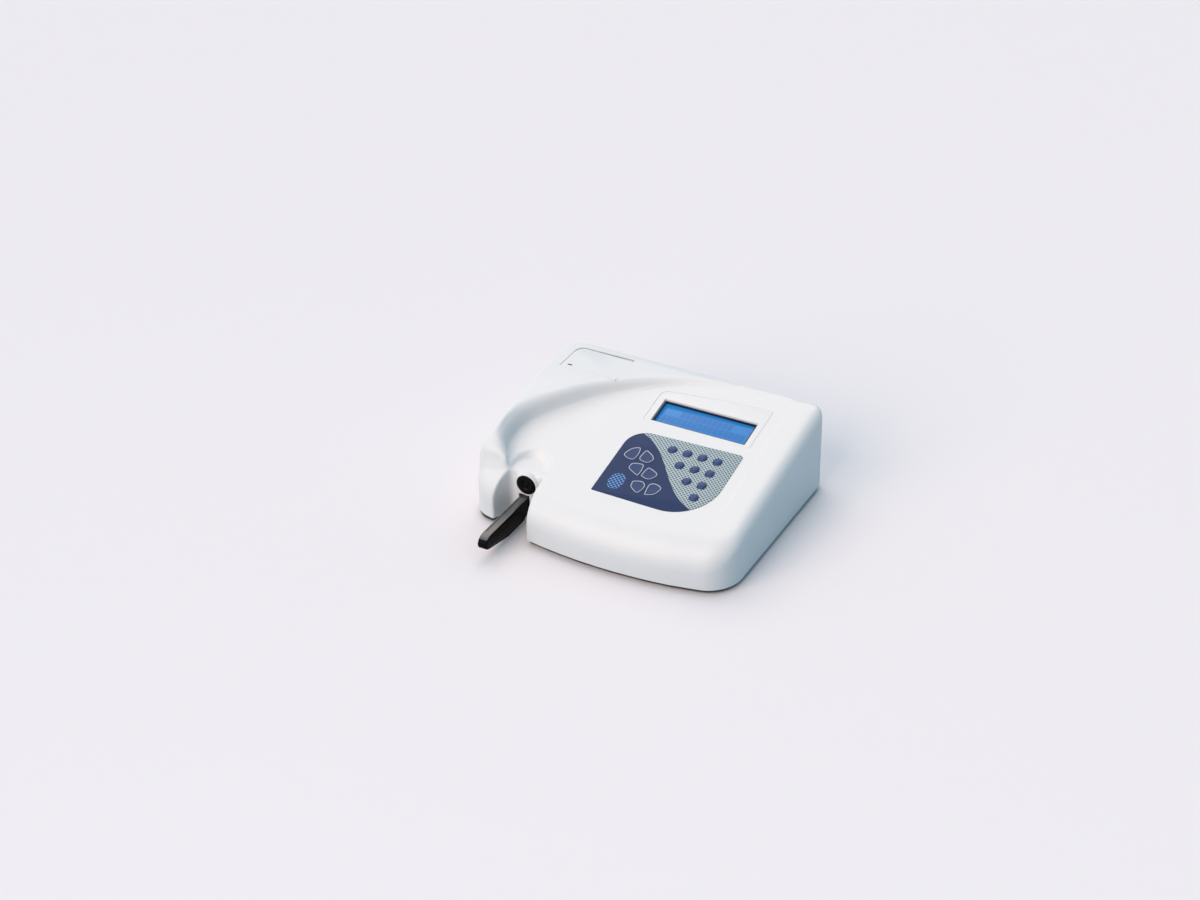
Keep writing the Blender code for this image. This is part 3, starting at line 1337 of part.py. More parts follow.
def make_start_button():
    """A round cap in front of the niche wall, its stem through the wall and a flange behind it."""
    flange_front = -WALL - GAP
    cap_back = BUTTON_TRAVEL + GAP
    cap = cap_back + BUTTON_CAP
    radius = BUTTON_RADIUS
    edge = BUTTON_CAP * BUTTON_EDGE_SHARE
    profile = [
        (0.0, cap - BUTTON_DIMPLE_DEPTH),
        (radius * BUTTON_DIMPLE_FLOOR_SHARE, cap - BUTTON_DIMPLE_DEPTH),
        (radius * BUTTON_DIMPLE_SHARE, cap),
    ]
    profile += [(radius - edge * inward, cap_back + edge * up) for inward, up in BUTTON_RIM_SHARES]
    profile += [
        (radius, cap_back),
        (BUTTON_STEM_RADIUS, cap_back),
        (BUTTON_STEM_RADIUS, flange_front),
        (BUTTON_FLANGE_RADIUS, flange_front),
        (BUTTON_FLANGE_RADIUS, flange_front - BUTTON_FLANGE),
        (0.0, flange_front - BUTTON_FLANGE),
    ]
    x = LEFT + BUTTON_FROM_LEFT
    towards_front(turned("start_button", profile, "gloss_black"), (x, NICHE_BACK, BUTTON_HEIGHT))
    front = NICHE_BACK + WALL + BUTTON_FLANGE + BUTTON_TRAVEL + 2 * GAP
    bottom = motor_bracket_low() + BRACKET_SHEET + GAP
    low = (x - SWITCH_WIDTH / 2, max(front, NICHE_BACK + HEAD_BRACKET_FROM_NICHE), bottom)
    high = (x + SWITCH_WIDTH / 2, low[1] + SWITCH_DEPTH, BUTTON_HEIGHT + SWITCH_OVER_BUTTON)
    block("start_switch", low, high, "part_black", edge=GAP)


# Main board and rear sockets

def board_post_places():
    left = LEFT + BOARD_FROM_LEFT
    back = BACK - WALL - BASE_RIM - 2 * GAP
    for x in (left + BOARD_POST_INSET, left + BOARD_WIDTH - BOARD_POST_INSET):
        for y in (back - BOARD_LENGTH + BOARD_POST_INSET, back - BOARD_POST_INSET):
            yield x, y


def make_electronics():
    left = LEFT + BOARD_FROM_LEFT
    back = BACK - WALL - BASE_RIM - 2 * GAP
    top = board_top()
    outline = rectangle(left, back - BOARD_LENGTH, left + BOARD_WIDTH, back, BOARD_CORNER)
    plate("main_board", [outline], top - BOARD_THICKNESS, top, "circuit_green")
    for name, share, width, height in SOCKETS:
        x = socket_centre(share)
        low = (x - width / 2, BACK - GAP - SOCKET_LENGTH, top + GAP)
        high = (x + width / 2, BACK - GAP, top + GAP + height)
        metal = name == "serial_port"
        socket = block(name, low, high, "tin_plate" if metal else "part_black", edge=SOCKET_EDGE)
        across = width * SOCKET_MOUTH_SHARE
        up = height * SOCKET_MOUTH_SHARE
        middle = (low[2] + high[2]) / 2
        mouth = block(
            name + "_mouth",
            (x - across, BACK - SOCKET_MOUTH_DEPTH, middle - up),
            (x + across, BACK + OVERRUN, middle + up),
        )
        cut(socket, mouth)


def make_power_switch():
    x = RIGHT - SWITCH_FROM_RIGHT
    z = POWER_SWITCH_HEIGHT
    half_width = SWITCH_FLANGE_WIDTH / 2
    half_height = SWITCH_FLANGE_HEIGHT / 2
    face = BACK - GAP / 2
    frame = block(
        "switch_frame",
        (x - half_width, face - SWITCH_FLANGE, z - half_height),
        (x + half_width, face, z + half_height),
        "part_black",
    )
    body_width = half_width - BEZEL_FLANGE - GAP
    body_height = half_height - BEZEL_FLANGE - GAP
    body = block(
        "switch_body",
        (x - body_width, face - SWITCH_BODY_LENGTH, z - body_height),
        (x + body_width, face - LAP, z + body_height),
    )
    join(frame, body)
    inner_width = body_width - SWITCH_FRAME_WALL
    inner_height = body_height - SWITCH_FRAME_WALL
    floor = face - SWITCH_BODY_LENGTH + SWITCH_FRAME_WALL
    low = (x - inner_width, floor, z - inner_height)
    cut(frame, block("switch_well", low, (x + inner_width, BACK + OVERRUN, z + inner_height)))

    rocker_half = inner_height - ROCKER_ROOM
    size = (inner_width - GAP, ROCKER_DEPTH / 2, rocker_half)
    pivot = face - ROCKER_PIVOT_DEPTH
    rocker = block("power_rocker", [-half for half in size], size, "part_black", edge=SOCKET_EDGE)
    rocker.data.transform(Matrix.Translation((0.0, ROCKER_DEPTH / 2 - ROCKER_TILT * rocker_half / 2, 0.0)))
    rocker.location = (x, pivot, z)
    rocker.rotation_euler = (ROCKER_TILT, 0.0, 0.0)


# Printer

def hinge_corner():
    """What is cut off the lid's front top corner, so that the corner turns about the pin in its opening."""
    points = []
    steps = round(math.pi / 2 / ARC_STEP)
    for step in range(steps + 1):
        angle = math.pi / 2 * (1 + step / steps)
        points.append((HINGE_Y + HINGE_DROP * math.cos(angle), HINGE_Z + HINGE_DROP * math.sin(angle)))
    far = HINGE_DROP + OVERRUN
    return points + [(HINGE_Y - far, HINGE_Z), (HINGE_Y - far, HINGE_Z + far), (HINGE_Y, HINGE_Z + far)]


def make_printer_cover():
    """The lid, with its hinge barrel in front and the platen's ears behind, turning about the pin."""
    bottom = COVER_TOP - COVER_THICKNESS
    local = [(x - COVER_X, y - HINGE_Y) for x, y in cover_outline()]
    cover = plate("printer_cover", [local], bottom - HINGE_Z, COVER_TOP - HINGE_Z, "housing_white")
    round_edges(cover, COVER_EDGE)
    cover.location = (COVER_X, HINGE_Y, HINGE_Z)
    wide = COVER_WIDTH / 2 + OVERRUN
    corner = section_along_x("cover_front_corner", hinge_corner(), COVER_X - wide, COVER_X + wide)
    cut(cover, corner)
    half = COVER_WIDTH / 2 - BARREL_INSET
    barrel = rod("cover_barrel", HINGE_BARREL, -half, half, sides=SMALL_SIDES)
    join(cover, along_x(barrel, (COVER_X, HINGE_Y, HINGE_Z)))
    ears = PLATEN_LENGTH / 2 + GAP
    for side, name in ((-1, "left"), (1, "right")):
        inner = COVER_X + side * ears
        outer = COVER_X + side * (ears + EAR_THICKNESS)
        low = min(inner, outer)
        outline = circle(PLATEN_Y, PLATEN_Z, EAR_RADIUS, SMALL_SIDES)
        top = (COVER_TOP + bottom) / 2
        outline = [(y, z) for y, z in outline if z < PLATEN_Z + LAP]
        outline = [(PLATEN_Y - EAR_RADIUS, top)] + outline + [(PLATEN_Y + EAR_RADIUS, top)]
        outline = sorted_round(outline)
        join(cover, section_along_x(f"ear_{name}", outline, low, low + EAR_THICKNESS))
    through = COVER_WIDTH / 2 + OVERRUN
    for name, radius, y, z in (
        ("pin_bore", PIN_RADIUS + GAP, HINGE_Y, HINGE_Z),
        ("platen_bore", PLATEN_END_RADIUS + GAP, PLATEN_Y, PLATEN_Z),
    ):
        bore = rod(name, radius, -through, through, sides=SMALL_SIDES)
        cut(cover, along_x(bore, (COVER_X, y, z)))
    pill_x = LEFT + COVER_LEFT + PILL_FROM_LEFT
    pill_y = COVER_FRONT + PILL_FROM_FRONT
    half_length = WINDOW_PILL_LENGTH / 2
    half_width = WINDOW_PILL_WIDTH / 2
    low = (pill_x - half_length, pill_y - half_width)
    high = (pill_x + half_length, pill_y + half_width)
    seat = rectangle(low[0] - GAP, low[1] - GAP, high[0] + GAP, high[1] + GAP, half_width)
    cut(cover, plate("pill_seat", [seat], bottom - OVERRUN, TOP_HEIGHT + OVERRUN))
    plate("cover_window", [rectangle(*low, *high, half_width)], bottom, COVER_TOP, "gloss_black")
    reach = COVER_WIDTH / 2 + HINGE_SEAT
    pin = rod("cover_pin", PIN_RADIUS, -reach, reach, "steel", sides=SMALL_SIDES)
    along_x(pin, (COVER_X, HINGE_Y, HINGE_Z))


def sorted_round(points):
    """Points of a convex outline in anticlockwise order."""
    middle_x = sum(x for x, _ in points) / len(points)
    middle_y = sum(y for _, y in points) / len(points)
    return sorted(points, key=lambda point: math.atan2(point[1] - middle_y, point[0] - middle_x))


def make_printer():
    make_printer_cover()
    inner_left = COVER_X - COVER_WIDTH / 2
    inner_right = COVER_X + COVER_WIDTH / 2
    top = TOP_HEIGHT - WALL - GAP
    front = HINGE_Y + HINGE_BARREL + CHASSIS_FRONT_ROOM - CHASSIS_WALL - GAP
    back = COVER_BACK + PAPER_GAP + HEAD_PLATE_THICKNESS + CHASSIS_WALL
    bottom = top - CHASSIS_DEPTH
    low = (inner_left - CHASSIS_WALL, front, bottom)
    high = (inner_right + CHASSIS_WALL, back, top)
    chassis = block("printer_chassis", low, high, "part_black")
    room_low = (inner_left, front + CHASSIS_WALL, bottom + CHASSIS_WALL)
    room_high = (inner_right, back - CHASSIS_WALL, top + OVERRUN)
    cut(chassis, block("roll_room", room_low, room_high))
    notch = SPINDLE_END_RADIUS + GAP
    low = (inner_left - CHASSIS_WALL - OVERRUN, ROLL_Y - notch, ROLL_Z)
    high = (inner_right + CHASSIS_WALL + OVERRUN, ROLL_Y + notch, top + OVERRUN)
    through = COVER_WIDTH / 2 + CHASSIS_WALL + OVERRUN
    seat = rod("spindle_seat", notch, -through, through, sides=PIN_SIDES)
    cut(chassis, block("spindle_notch", low, high), along_x(seat, (COVER_X, ROLL_Y, ROLL_Z)))

    roll_half = ROLL_WIDTH / 2
    profile = [
        (ROLL_RADIUS, roll_half),
        (ROLL_RADIUS, -roll_half),
        (ROLL_BORE, -roll_half),
        (ROLL_BORE, roll_half),
    ]
    along_x(turned("paper_roll", profile, "paper", sides=FINE_SIDES), (COVER_X, ROLL_Y, ROLL_Z))
    end = COVER_WIDTH / 2 + CHASSIS_WALL
    profile = [
        (0.0, end),
        (SPINDLE_END_RADIUS, end),
        (SPINDLE_END_RADIUS, roll_half),
        (ROLL_BORE - GAP, roll_half),
        (ROLL_BORE - GAP, -roll_half),
        (SPINDLE_END_RADIUS, -roll_half),
        (SPINDLE_END_RADIUS, -end),
        (0.0, -end),
    ]
    along_x(turned("paper_spindle", profile, "part_black", sides=PIN_SIDES), (COVER_X, ROLL_Y, ROLL_Z))

    half = PLATEN_LENGTH / 2
    end = half + EAR_THICKNESS + GAP
    profile = [
        (0.0, end),
        (PLATEN_END_RADIUS, end),
        (PLATEN_END_RADIUS, half),
        (PLATEN_RADIUS, half),
        (PLATEN_RADIUS, -half),
        (PLATEN_END_RADIUS, -half),
        (PLATEN_END_RADIUS, -end),
        (0.0, -end),
    ]
    roller = turned("platen_roller", profile, "rubber_black", sides=DISC_SIDES)
    along_x(roller, (COVER_X, PLATEN_Y, PLATEN_Z))

    face = PLATEN_Y + PLATEN_RADIUS + GAP
    head_top = PLATEN_Z
    wall_front = back - CHASSIS_WALL - GAP
    low = (COVER_X - half, face, head_top - HEAD_PLATE_HEIGHT)
    high = (COVER_X + half, wall_front, head_top)
    block("thermal_head", low, high, "tin_plate", edge=GAP)
    bar_back = COVER_BACK + PAPER_GAP - GAP
    wide = COVER_WIDTH / 2 - GAP
    narrow = COVER_WIDTH / 2 - COVER_CORNER
    outline = [
        (COVER_X - wide, head_top + GAP),
        (COVER_X + wide, head_top + GAP),
        (COVER_X + wide, top),
        (COVER_X + narrow, top),
        (COVER_X + narrow, TOP_HEIGHT - TEAR_BAR_SINK),
        (COVER_X - narrow, TOP_HEIGHT - TEAR_BAR_SINK),
        (COVER_X - narrow, top),
        (COVER_X - wide, top),
    ]
    section_along_y("tear_bar", outline, bar_back - TEAR_BAR_THICKNESS, bar_back, "steel")


clear_scene()
PARTS = collection("urine_analyzer")
CUTTERS = collection("cutters")
ORIGIN = bpy.data.objects.new("analyzer_origin", None)
ORIGIN.location = (0.0, TRAY_REACH / 2, 0.0)
PARTS.objects.link(ORIGIN)
PANEL = bpy.data.objects.new("panel_frame", None)
PANEL.location = (0.0, FRONT, PANEL_FRONT_HEIGHT)
PANEL.rotation_euler = (PANEL_TILT, 0.0, 0.0)
PANEL.parent = ORIGIN
PARTS.objects.link(PANEL)

make_upper_housing()
make_base_cover()
make_feet()
make_screws()
make_keypad()
make_display()
make_tray()
make_guides()
make_drive()
make_reading_head()
make_start_button()
make_electronics()
make_power_switch()
make_printer()
for part in PARTS.objects:
    if part.type == "MESH":
        part.data.shade_smooth()
        part.data.set_sharp_from_angle(angle=SMOOTH_ANGLE)
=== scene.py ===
"""Fine surfaces, finishes and studio of a bench-top urine analyzer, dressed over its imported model.

All lengths are in metres, in the model's own frame: +Z is up and the front faces -Y. Pieces of the sloping
panel are drawn in the panel's frame, whose origin is the panel's front edge, and are then laid on it.
"""

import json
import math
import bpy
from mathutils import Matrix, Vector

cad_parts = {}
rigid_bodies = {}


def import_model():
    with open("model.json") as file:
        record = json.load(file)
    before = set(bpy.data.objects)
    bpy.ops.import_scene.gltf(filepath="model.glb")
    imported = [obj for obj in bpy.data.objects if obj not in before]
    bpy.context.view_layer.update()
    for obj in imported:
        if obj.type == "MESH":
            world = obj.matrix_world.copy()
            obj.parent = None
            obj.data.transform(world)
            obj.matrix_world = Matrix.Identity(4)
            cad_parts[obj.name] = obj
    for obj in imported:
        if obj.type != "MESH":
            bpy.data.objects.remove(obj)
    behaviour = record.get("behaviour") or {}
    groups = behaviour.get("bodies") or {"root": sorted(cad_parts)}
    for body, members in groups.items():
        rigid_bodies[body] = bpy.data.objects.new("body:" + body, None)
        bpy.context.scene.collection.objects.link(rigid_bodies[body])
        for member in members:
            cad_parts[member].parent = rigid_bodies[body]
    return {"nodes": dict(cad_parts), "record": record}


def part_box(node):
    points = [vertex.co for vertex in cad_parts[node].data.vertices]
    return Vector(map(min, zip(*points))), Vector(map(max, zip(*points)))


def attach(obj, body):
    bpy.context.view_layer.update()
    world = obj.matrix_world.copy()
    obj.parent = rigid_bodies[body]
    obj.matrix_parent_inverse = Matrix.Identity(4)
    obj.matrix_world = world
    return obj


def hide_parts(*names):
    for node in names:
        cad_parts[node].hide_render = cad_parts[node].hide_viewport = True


bl_info = {
    "name": "Urine Analyzer Looks",
    "version": (1, 0, 0),
    "blender": (4, 5, 0),
    "location": "3D View > Sidebar > Analyzer",
    "description": "Builds the fine surfaces, finishes and studio of a bench-top urine analyzer",
    "category": "Object",
}

import bmesh
import bpy
from bpy.props import FloatProperty, FloatVectorProperty, IntProperty, PointerProperty
from mathutils import Matrix, Vector

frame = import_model()

MM = 0.001

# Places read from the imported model
LEFT, FRONT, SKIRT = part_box("upper_housing")[0]
RIGHT, BACK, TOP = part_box("upper_housing")[1]
WIDTH = RIGHT - LEFT
DEPTH = BACK - FRONT

# Fits
GAP = 0.3 * MM
JOINT = 0.1 * MM
OVERRUN = 2.0 * MM
WELD = 0.001 * MM
FINE_STEP = math.radians(4.0)
COARSE_STEP = math.radians(12.0)
SMOOTH_ANGLE = math.radians(32.0)
SHELL_SMOOTH_ANGLE = math.radians(40.0)
TRAY_SMOOTH_ANGLE = math.radians(50.0)
FLAT_ANGLE = math.radians(1.0)
FULL_TURN = 2 * math.pi

# Sloping panel
PANEL_FRONT_HEIGHT = 47.8 * MM
PANEL_BACK_DROP = 1.4 * MM
PANEL_SLOPE = (TOP - PANEL_BACK_DROP - PANEL_FRONT_HEIGHT) / DEPTH
PANEL_TILT = math.atan(PANEL_SLOPE)
PANEL_PLACE = Vector((0.0, FRONT, PANEL_FRONT_HEIGHT))
PANEL = Matrix.Translation(PANEL_PLACE) @ Matrix.Rotation(PANEL_TILT, 4, "X")
TO_PANEL = PANEL.inverted()

# Body in plan
FRONT_CURVE_RADIUS = 490.0 * MM
FRONT_APEX_SHARE = 0.063
FRONT_ARC_SHARES = (-0.31, -0.24, -0.17, -0.10, -0.03, 0.04, 0.11, 0.18, 0.25, 0.30)
REAR_LEFT_RADIUS = 24.0 * MM
REAR_RIGHT_RADIUS = 12.0 * MM
FRONT_LEFT_RADIUS = 31.0 * MM
ARM_FRONT = FRONT + 30.5 * MM
ARM_FRONT_SLOPE = -0.20
ARM_FRONT_END = 38.0 * MM
FRONT_RIGHT_RADIUS = 55.0 * MM
SHOULDER_TURN_POWER = 1.5

# Crest of the arm, as (share of depth, share of the rise from the panel's front edge to the top)
CREST_SHARES = (
    (0.090, -0.848), (0.189, 0.312), (0.200, 0.469), (0.222, 0.593), (0.267, 0.695), (0.330, 0.772),
    (0.400, 0.831), (0.480, 0.894), (0.580, 0.953), (0.700, 1.000), (1.000, 1.000),
)
# Cove between arm and panel, as (share of width, share of depth), from the niche to the right
COVE_SHARES = (
    (0.115, 0.205), (0.083, 0.250), (0.062, 0.290), (0.053, 0.365), (0.066, 0.450), (0.103, 0.525),
    (0.160, 0.610), (0.235, 0.705), (0.330, 0.797), (0.450, 0.882), (0.590, 0.939), (0.740, 0.966),
    (0.880, 0.968),
)
COVE_EDGE_SHARE = 0.70
COVE_EDGE_SOFT = 40.0 * MM
COVE_EDGE_REACH = 55.0 * MM
ARM_NOSE_FROM_LEFT = 45.0 * MM
ARM_END_FROM_RIGHT = 34.0 * MM
ARM_FADE_START = 25.0 * MM
ARM_FADE_END = 106.0 * MM
COVE_REACH = 13.0 * MM
SILL_REACH = 9.0 * MM

# Niche and scoop
NICHE_DEPTH = 46.5 * MM
NICHE_BACK = FRONT + NICHE_DEPTH
NICHE_LEFT = LEFT + 36.5 * MM
NICHE_RIGHT = LEFT + 74.0 * MM
NICHE_SPLAY = math.radians(24.5)
NICHE_CORNER = 5.0 * MM
SCOOP_PLACE = Vector((LEFT + 53.5 * MM, FRONT + 55.5 * MM, 0.0))
SCOOP_FLOOR = 55.3 * MM
SCOOP_FLOOR_RADIUS = 18.0 * MM
SCOOP_RIM_RADIUS = 23.4 * MM
SCOOP_RIM_RISE = 8.0 * MM

# Shallow recess round the keypad and display, in the panel's frame: corners (x, y, radius)
RECESS_CORNERS = (
    (-61.0, 36.0, 6.0), (12.0, 35.2, 200.0), (68.0, 34.0, 60.0), (114.3, 40.5, 48.0),
    (113.2, 234.5, 9.0), (52.0, 232.5, 60.0), (-4.0, 217.0, 90.0), (-50.0, 191.0, 60.0),
)
RECESS_ZERO = ((-75.0, 43.4), (-20.0, 234.0))
RECESS_RATE = 0.0045


def panel_box(node):
    """A node's lowest and highest corner in the panel's frame."""
    places = [TO_PANEL @ vertex.co for vertex in frame["nodes"][node].data.vertices]
    low = Vector([min(place[axis] for place in places) for axis in range(3)])
    high = Vector([max(place[axis] for place in places) for axis in range(3)])
    return low, high


def middle(corners):
    return (corners[0] + corners[1]) / 2


# Sizes and colours that a user would change

def length(title, text, default):
    return FloatProperty(name=title, description=text, default=default, min=0.0, unit="LENGTH", precision=5)


def colour(title, text, default):
    return FloatVectorProperty(
        name=title, description=text, default=default, size=3, subtype="COLOR", min=0.0, max=1.0
    )


class HousingSizes(bpy.types.PropertyGroup):
    voxel: length("Voxel", "Grain of the mesh that the white shell is drawn from", 1.4 * MM)
    wall: length("Wall", "Thickness of the shell", 2.5 * MM)
    shoulder_front: length("Front shoulder", "Radius of the panel's front edge", 28.0 * MM)
    shoulder_side: length("Side shoulder", "Radius of the panel's right edge", 13.0 * MM)
    shoulder_back: length("Back shoulder", "Radius of the panel's back edge", 6.0 * MM)
    arm_side: length("Arm side", "Radius of the arm's outer edge", 10.0 * MM)
    arm_nose: length("Arm nose", "Radius round the arm's front end", 8.0 * MM)
    arm_back: length("Arm back", "Radius of the arm's back edge", 6.0 * MM)
    cove_edge: length("Cove edge", "Radius between the arm's top and the cove", 7.0 * MM)
    cove_edge_extra: length("Cove edge extra", "Growth of that radius towards the niche", 6.0 * MM)
    softening: IntProperty(name="Softening", description="Smoothing passes over the shell", default=3, min=0)
    cove_softening: IntProperty(
        name="Cove softening", description="Further passes along the cove", default=8, min=0
    )
    sill_softening: IntProperty(
        name="Sill softening", description="Further passes between scoop and niche wall", default=30, min=0
    )


class KeypadSizes(bpy.types.PropertyGroup):
    line: length("Petal line", "Width of the pale line round a petal key", 0.85 * MM)
    dome_rise: length("Dome rise", "Height of a number key over the film", 2.3 * MM)
    film_edge: length("Film edge", "Radius of the film's edge", 0.15 * MM)
    navy: colour("Navy", "Printed dark blue", (0.012, 0.034, 0.105))
    weave: colour("Weave", "Printed grey of the right part", (0.450, 0.545, 0.580))
    dots: colour("Dots", "Printed light blue dots", (0.130, 0.330, 0.680))


class StudioSizes(bpy.types.PropertyGroup):
    floor_size: length("Floor", "Width of the floor", 16.0)
    key_strength: FloatProperty(name="Key light", description="Strength of the front key light", default=1.98)
    top_strength: FloatProperty(name="Top light", description="Strength of the light overhead", default=1.15)
    warm: colour("Light colour", "Colour of the key and top lights", (1.0, 0.76, 0.63))
    sky: colour("Sky", "Colour of the light from all round", (0.345, 0.565, 0.705))
    shade: FloatProperty(
        name="Sky shade", description="Share of the sky lost at the front right", default=0.55
    )
    bounce: colour("Bounce", "Colour that the floor throws back on the object", (0.38, 0.48, 0.56))
    ground: colour("Floor colour", "Colour of the floor as seen", (0.880, 0.832, 0.845))
    backdrop: colour("Backdrop", "Colour that the camera sees behind the object", (0.868, 0.857, 0.893))


# Shader maths

class Value:
    """A socket of a finish. Python's operators between values and numbers add Math nodes."""

    def __init__(self, finish, socket):
        self.finish = finish
        self.socket = socket

    def math(self, operation, *others):
        inputs = dict(enumerate((self, *others)))
        return self.finish.node("ShaderNodeMath", {"operation": operation}, inputs)

    def __add__(self, other):
        return self.math("ADD", other)

    __radd__ = __add__

    def __mul__(self, other):
        return self.math("MULTIPLY", other)

    __rmul__ = __mul__

    def __sub__(self, other):
        return self.math("SUBTRACT", other)

    def __rsub__(self, other):
        return self.finish.node("ShaderNodeMath", {"operation": "SUBTRACT"}, {0: other, 1: self})

    def __truediv__(self, other):
        return self.math("DIVIDE", other)

    def __gt__(self, other):
        return self.math("GREATER_THAN", other)

    def __lt__(self, other):
        return self.math("LESS_THAN", other)

    def __abs__(self):
        return self.math("ABSOLUTE")

    def cell(self, pitch):
        """Distance from the middle of the pitch that the value lies in."""
        return abs((self / pitch).math("FRACT") - 0.5) * pitch

    def part(self, name):
        """Another output of the same node."""
        return Value(self.finish, self.socket.node.outputs[name])


class Finish:
    """A procedural material under construction, whose one node method adds any node."""

    def __init__(self, name, **constants):
        self.material = bpy.data.materials.new(name)
        self.material.use_nodes = True
        self.tree = self.material.node_tree
        self.tree.nodes.clear()
        self.object_place = self.node("ShaderNodeTexCoord").part("Object")
        self.shader = self.node("ShaderNodeBsdfPrincipled", inputs=constants)
        self.node("ShaderNodeOutputMaterial", inputs={"Surface": self.shader}, output=None)

    def node(self, kind, settings=None, inputs=None, output=0):
        made = self.tree.nodes.new(kind)
        for name, value in (settings or {}).items():
            if name == "stops":
                for element, (place, shade) in zip(made.color_ramp.elements, value):
                    element.position = place
                    element.color = (*shade, 1.0)
            else:
                setattr(made, name, value)
        for name, value in (inputs or {}).items():
            self.feed(made.inputs[name], value)
        return None if output is None else Value(self, made.outputs[output])

    def feed(self, socket, value):
        if isinstance(value, Value):
            self.tree.links.new(value.socket, socket)
        elif socket.type == "RGBA":
            socket.default_value = (*value, 1.0)
        else:
            socket.default_value = value

    def set(self, name, value):
        """Feeds one socket of the Principled shader."""
        self.feed(self.shader.socket.node.inputs[name], value)

    def placed(self, location=(0.0, 0.0, 0.0), turn=(0.0, 0.0, 0.0), scale=(1.0, 1.0, 1.0)):
        """Object coordinates seen from a frame with this place, turn and scale."""
        inputs = {"Vector": self.object_place, "Location": location, "Rotation": turn, "Scale": scale}
        return self.node("ShaderNodeMapping", {"vector_type": "TEXTURE"}, inputs)

    def on_panel(self):
        """The three coordinates in the panel's frame."""
        panel = self.placed(PANEL_PLACE, (PANEL_TILT, 0.0, 0.0))
        place = self.node("ShaderNodeSeparateXYZ", inputs={0: panel})
        return place.part("X"), place.part("Y"), place.part("Z")

    def noise(self, size, detail=2.0, place=None):
        inputs = {"Vector": place or self.object_place, "Scale": 1.0 / size, "Detail": detail}
        return self.node("ShaderNodeTexNoise", inputs=inputs)

    def mix(self, share, first, second):
        """A colour between two."""
        inputs = {0: share, 6: first, 7: second}
        return self.node("ShaderNodeMix", {"data_type": "RGBA"}, inputs, output=2)

    def bump(self, height, depth):
        self.set("Normal", self.node("ShaderNodeBump", inputs={"Height": height, "Distance": depth}))


# Outlines

def rounded(corners, step=FINE_STEP):
    """The closed outline through (x, y, radius) corners, each rounded by an arc that its sides allow."""
    points = []
    for index, (x, y, radius) in enumerate(corners):
        corner = Vector((x, y))
        before = Vector(corners[index - 1][:2]) - corner
        after = Vector(corners[(index + 1) % len(corners)][:2]) - corner
        turn = math.pi - before.angle(after)
        reach = min(radius * math.tan(turn / 2), before.length / 2, after.length / 2)
        if reach <= 0 or turn < step / 2:
            points.append((x, y))
            continue
        start = corner + before.normalized() * reach
        end = corner + after.normalized() * reach
        inward = (before.normalized() + after.normalized()).normalized()
        centre = corner + inward * reach / math.sin(turn / 2)
        first = math.atan2(start.y - centre.y, start.x - centre.x)
        sweep = math.atan2(end.y - centre.y, end.x - centre.x) - first
        sweep = (sweep + math.pi) % FULL_TURN - math.pi
        radius = (start - centre).length
        steps = max(2, math.ceil(turn / step))
        for place in range(steps + 1):
            angle = first + sweep * place / steps
            points.append((centre.x + radius * math.cos(angle), centre.y + radius * math.sin(angle)))
    return points


def mitres(points):
    """For each corner of an anticlockwise outline, the move that shifts both its sides inwards by one."""
    found = []
    for index, point in enumerate(points):
        here = Vector(point)
        before = (here - Vector(points[index - 1])).normalized()
        after = (Vector(points[(index + 1) % len(points)]) - here).normalized()
        inward = Vector((-before.y, before.x)) + Vector((-after.y, after.x))
        found.append(inward * 2 / inward.length_squared)
    return found


def inset(points, distance):
    return [(x + move.x * distance, y + move.y * distance) for (x, y), move in zip(points, mitres(points))]


def rounded_inset(corners, distance, step=FINE_STEP):
    """The outline of rounded corners moved inwards, its arcs keeping their centres."""
    shifted = inset([(x, y) for x, y, _ in corners], distance)
    radii = [max(corner[2] - distance, 0.0) for corner in corners]
    return rounded([(x, y, radius) for (x, y), radius in zip(shifted, radii)], step)


def rectangle(low, high, radius=0.0, step=FINE_STEP):
    corners = ((low[0], low[1]), (high[0], low[1]), (high[0], high[1]), (low[0], high[1]))
    return rounded([(x, y, radius) for x, y in corners], step)


def circle(centre, radius, sides):
    turns = [FULL_TURN * index / sides for index in range(sides)]
    return [(centre[0] + radius * math.cos(turn), centre[1] + radius * math.sin(turn)) for turn in turns]


def smooth_through(points, steps):
    """Catmull-Rom points through the given ones, with this many steps in each span."""
    padded = [points[0], *points, points[-1]]
    found = []
    for index in range(len(points) - 1):
        a, b, c, d = (Vector(point) for point in padded[index:index + 4])
        for step in range(steps):
            t = step / steps
            curved = 2 * b + (c - a) * t
            curved += (2 * a - 5 * b + 4 * c - d) * t ** 2 + (3 * b - a - 3 * c + d) * t ** 3
            found.append(tuple(curved / 2))
    return found + [tuple(points[-1])]


# Meshes

def ring(bm, outline, height):
    """A closed ring of vertices and edges at one height."""
    verts = [bm.verts.new((x, y, height)) for x, y in outline]
    for index, vertex in enumerate(verts):
        bm.edges.new((verts[index - 1], vertex))
    return verts


def ring_edges(bm, verts):
    return [bm.edges.get((verts[index - 1], vertex)) for index, vertex in enumerate(verts)]


def raised_ring(bm, verts):
    """Extrudes a closed ring, and returns the new ring in the same order."""
    made = bmesh.ops.extrude_edge_only(bm, edges=ring_edges(bm, verts))["geom"]
    fresh = {item for item in made if isinstance(item, bmesh.types.BMVert)}
    return [next(e.other_vert(v) for e in v.link_edges if e.other_vert(v) in fresh) for v in verts]


def prism(outline, low, high, top=None):
    """A solid between two heights. Its top may have another outline with as many points."""
    bm = bmesh.new()
    base = ring(bm, outline, low)
    bmesh.ops.contextual_create(bm, geom=ring_edges(bm, base))
    lid = raised_ring(bm, base)
    for vertex, (x, y) in zip(lid, top or outline):
        vertex.co = (x, y, high)
    bmesh.ops.contextual_create(bm, geom=ring_edges(bm, lid))
    bmesh.ops.recalc_face_normals(bm, faces=bm.faces)
    return bm


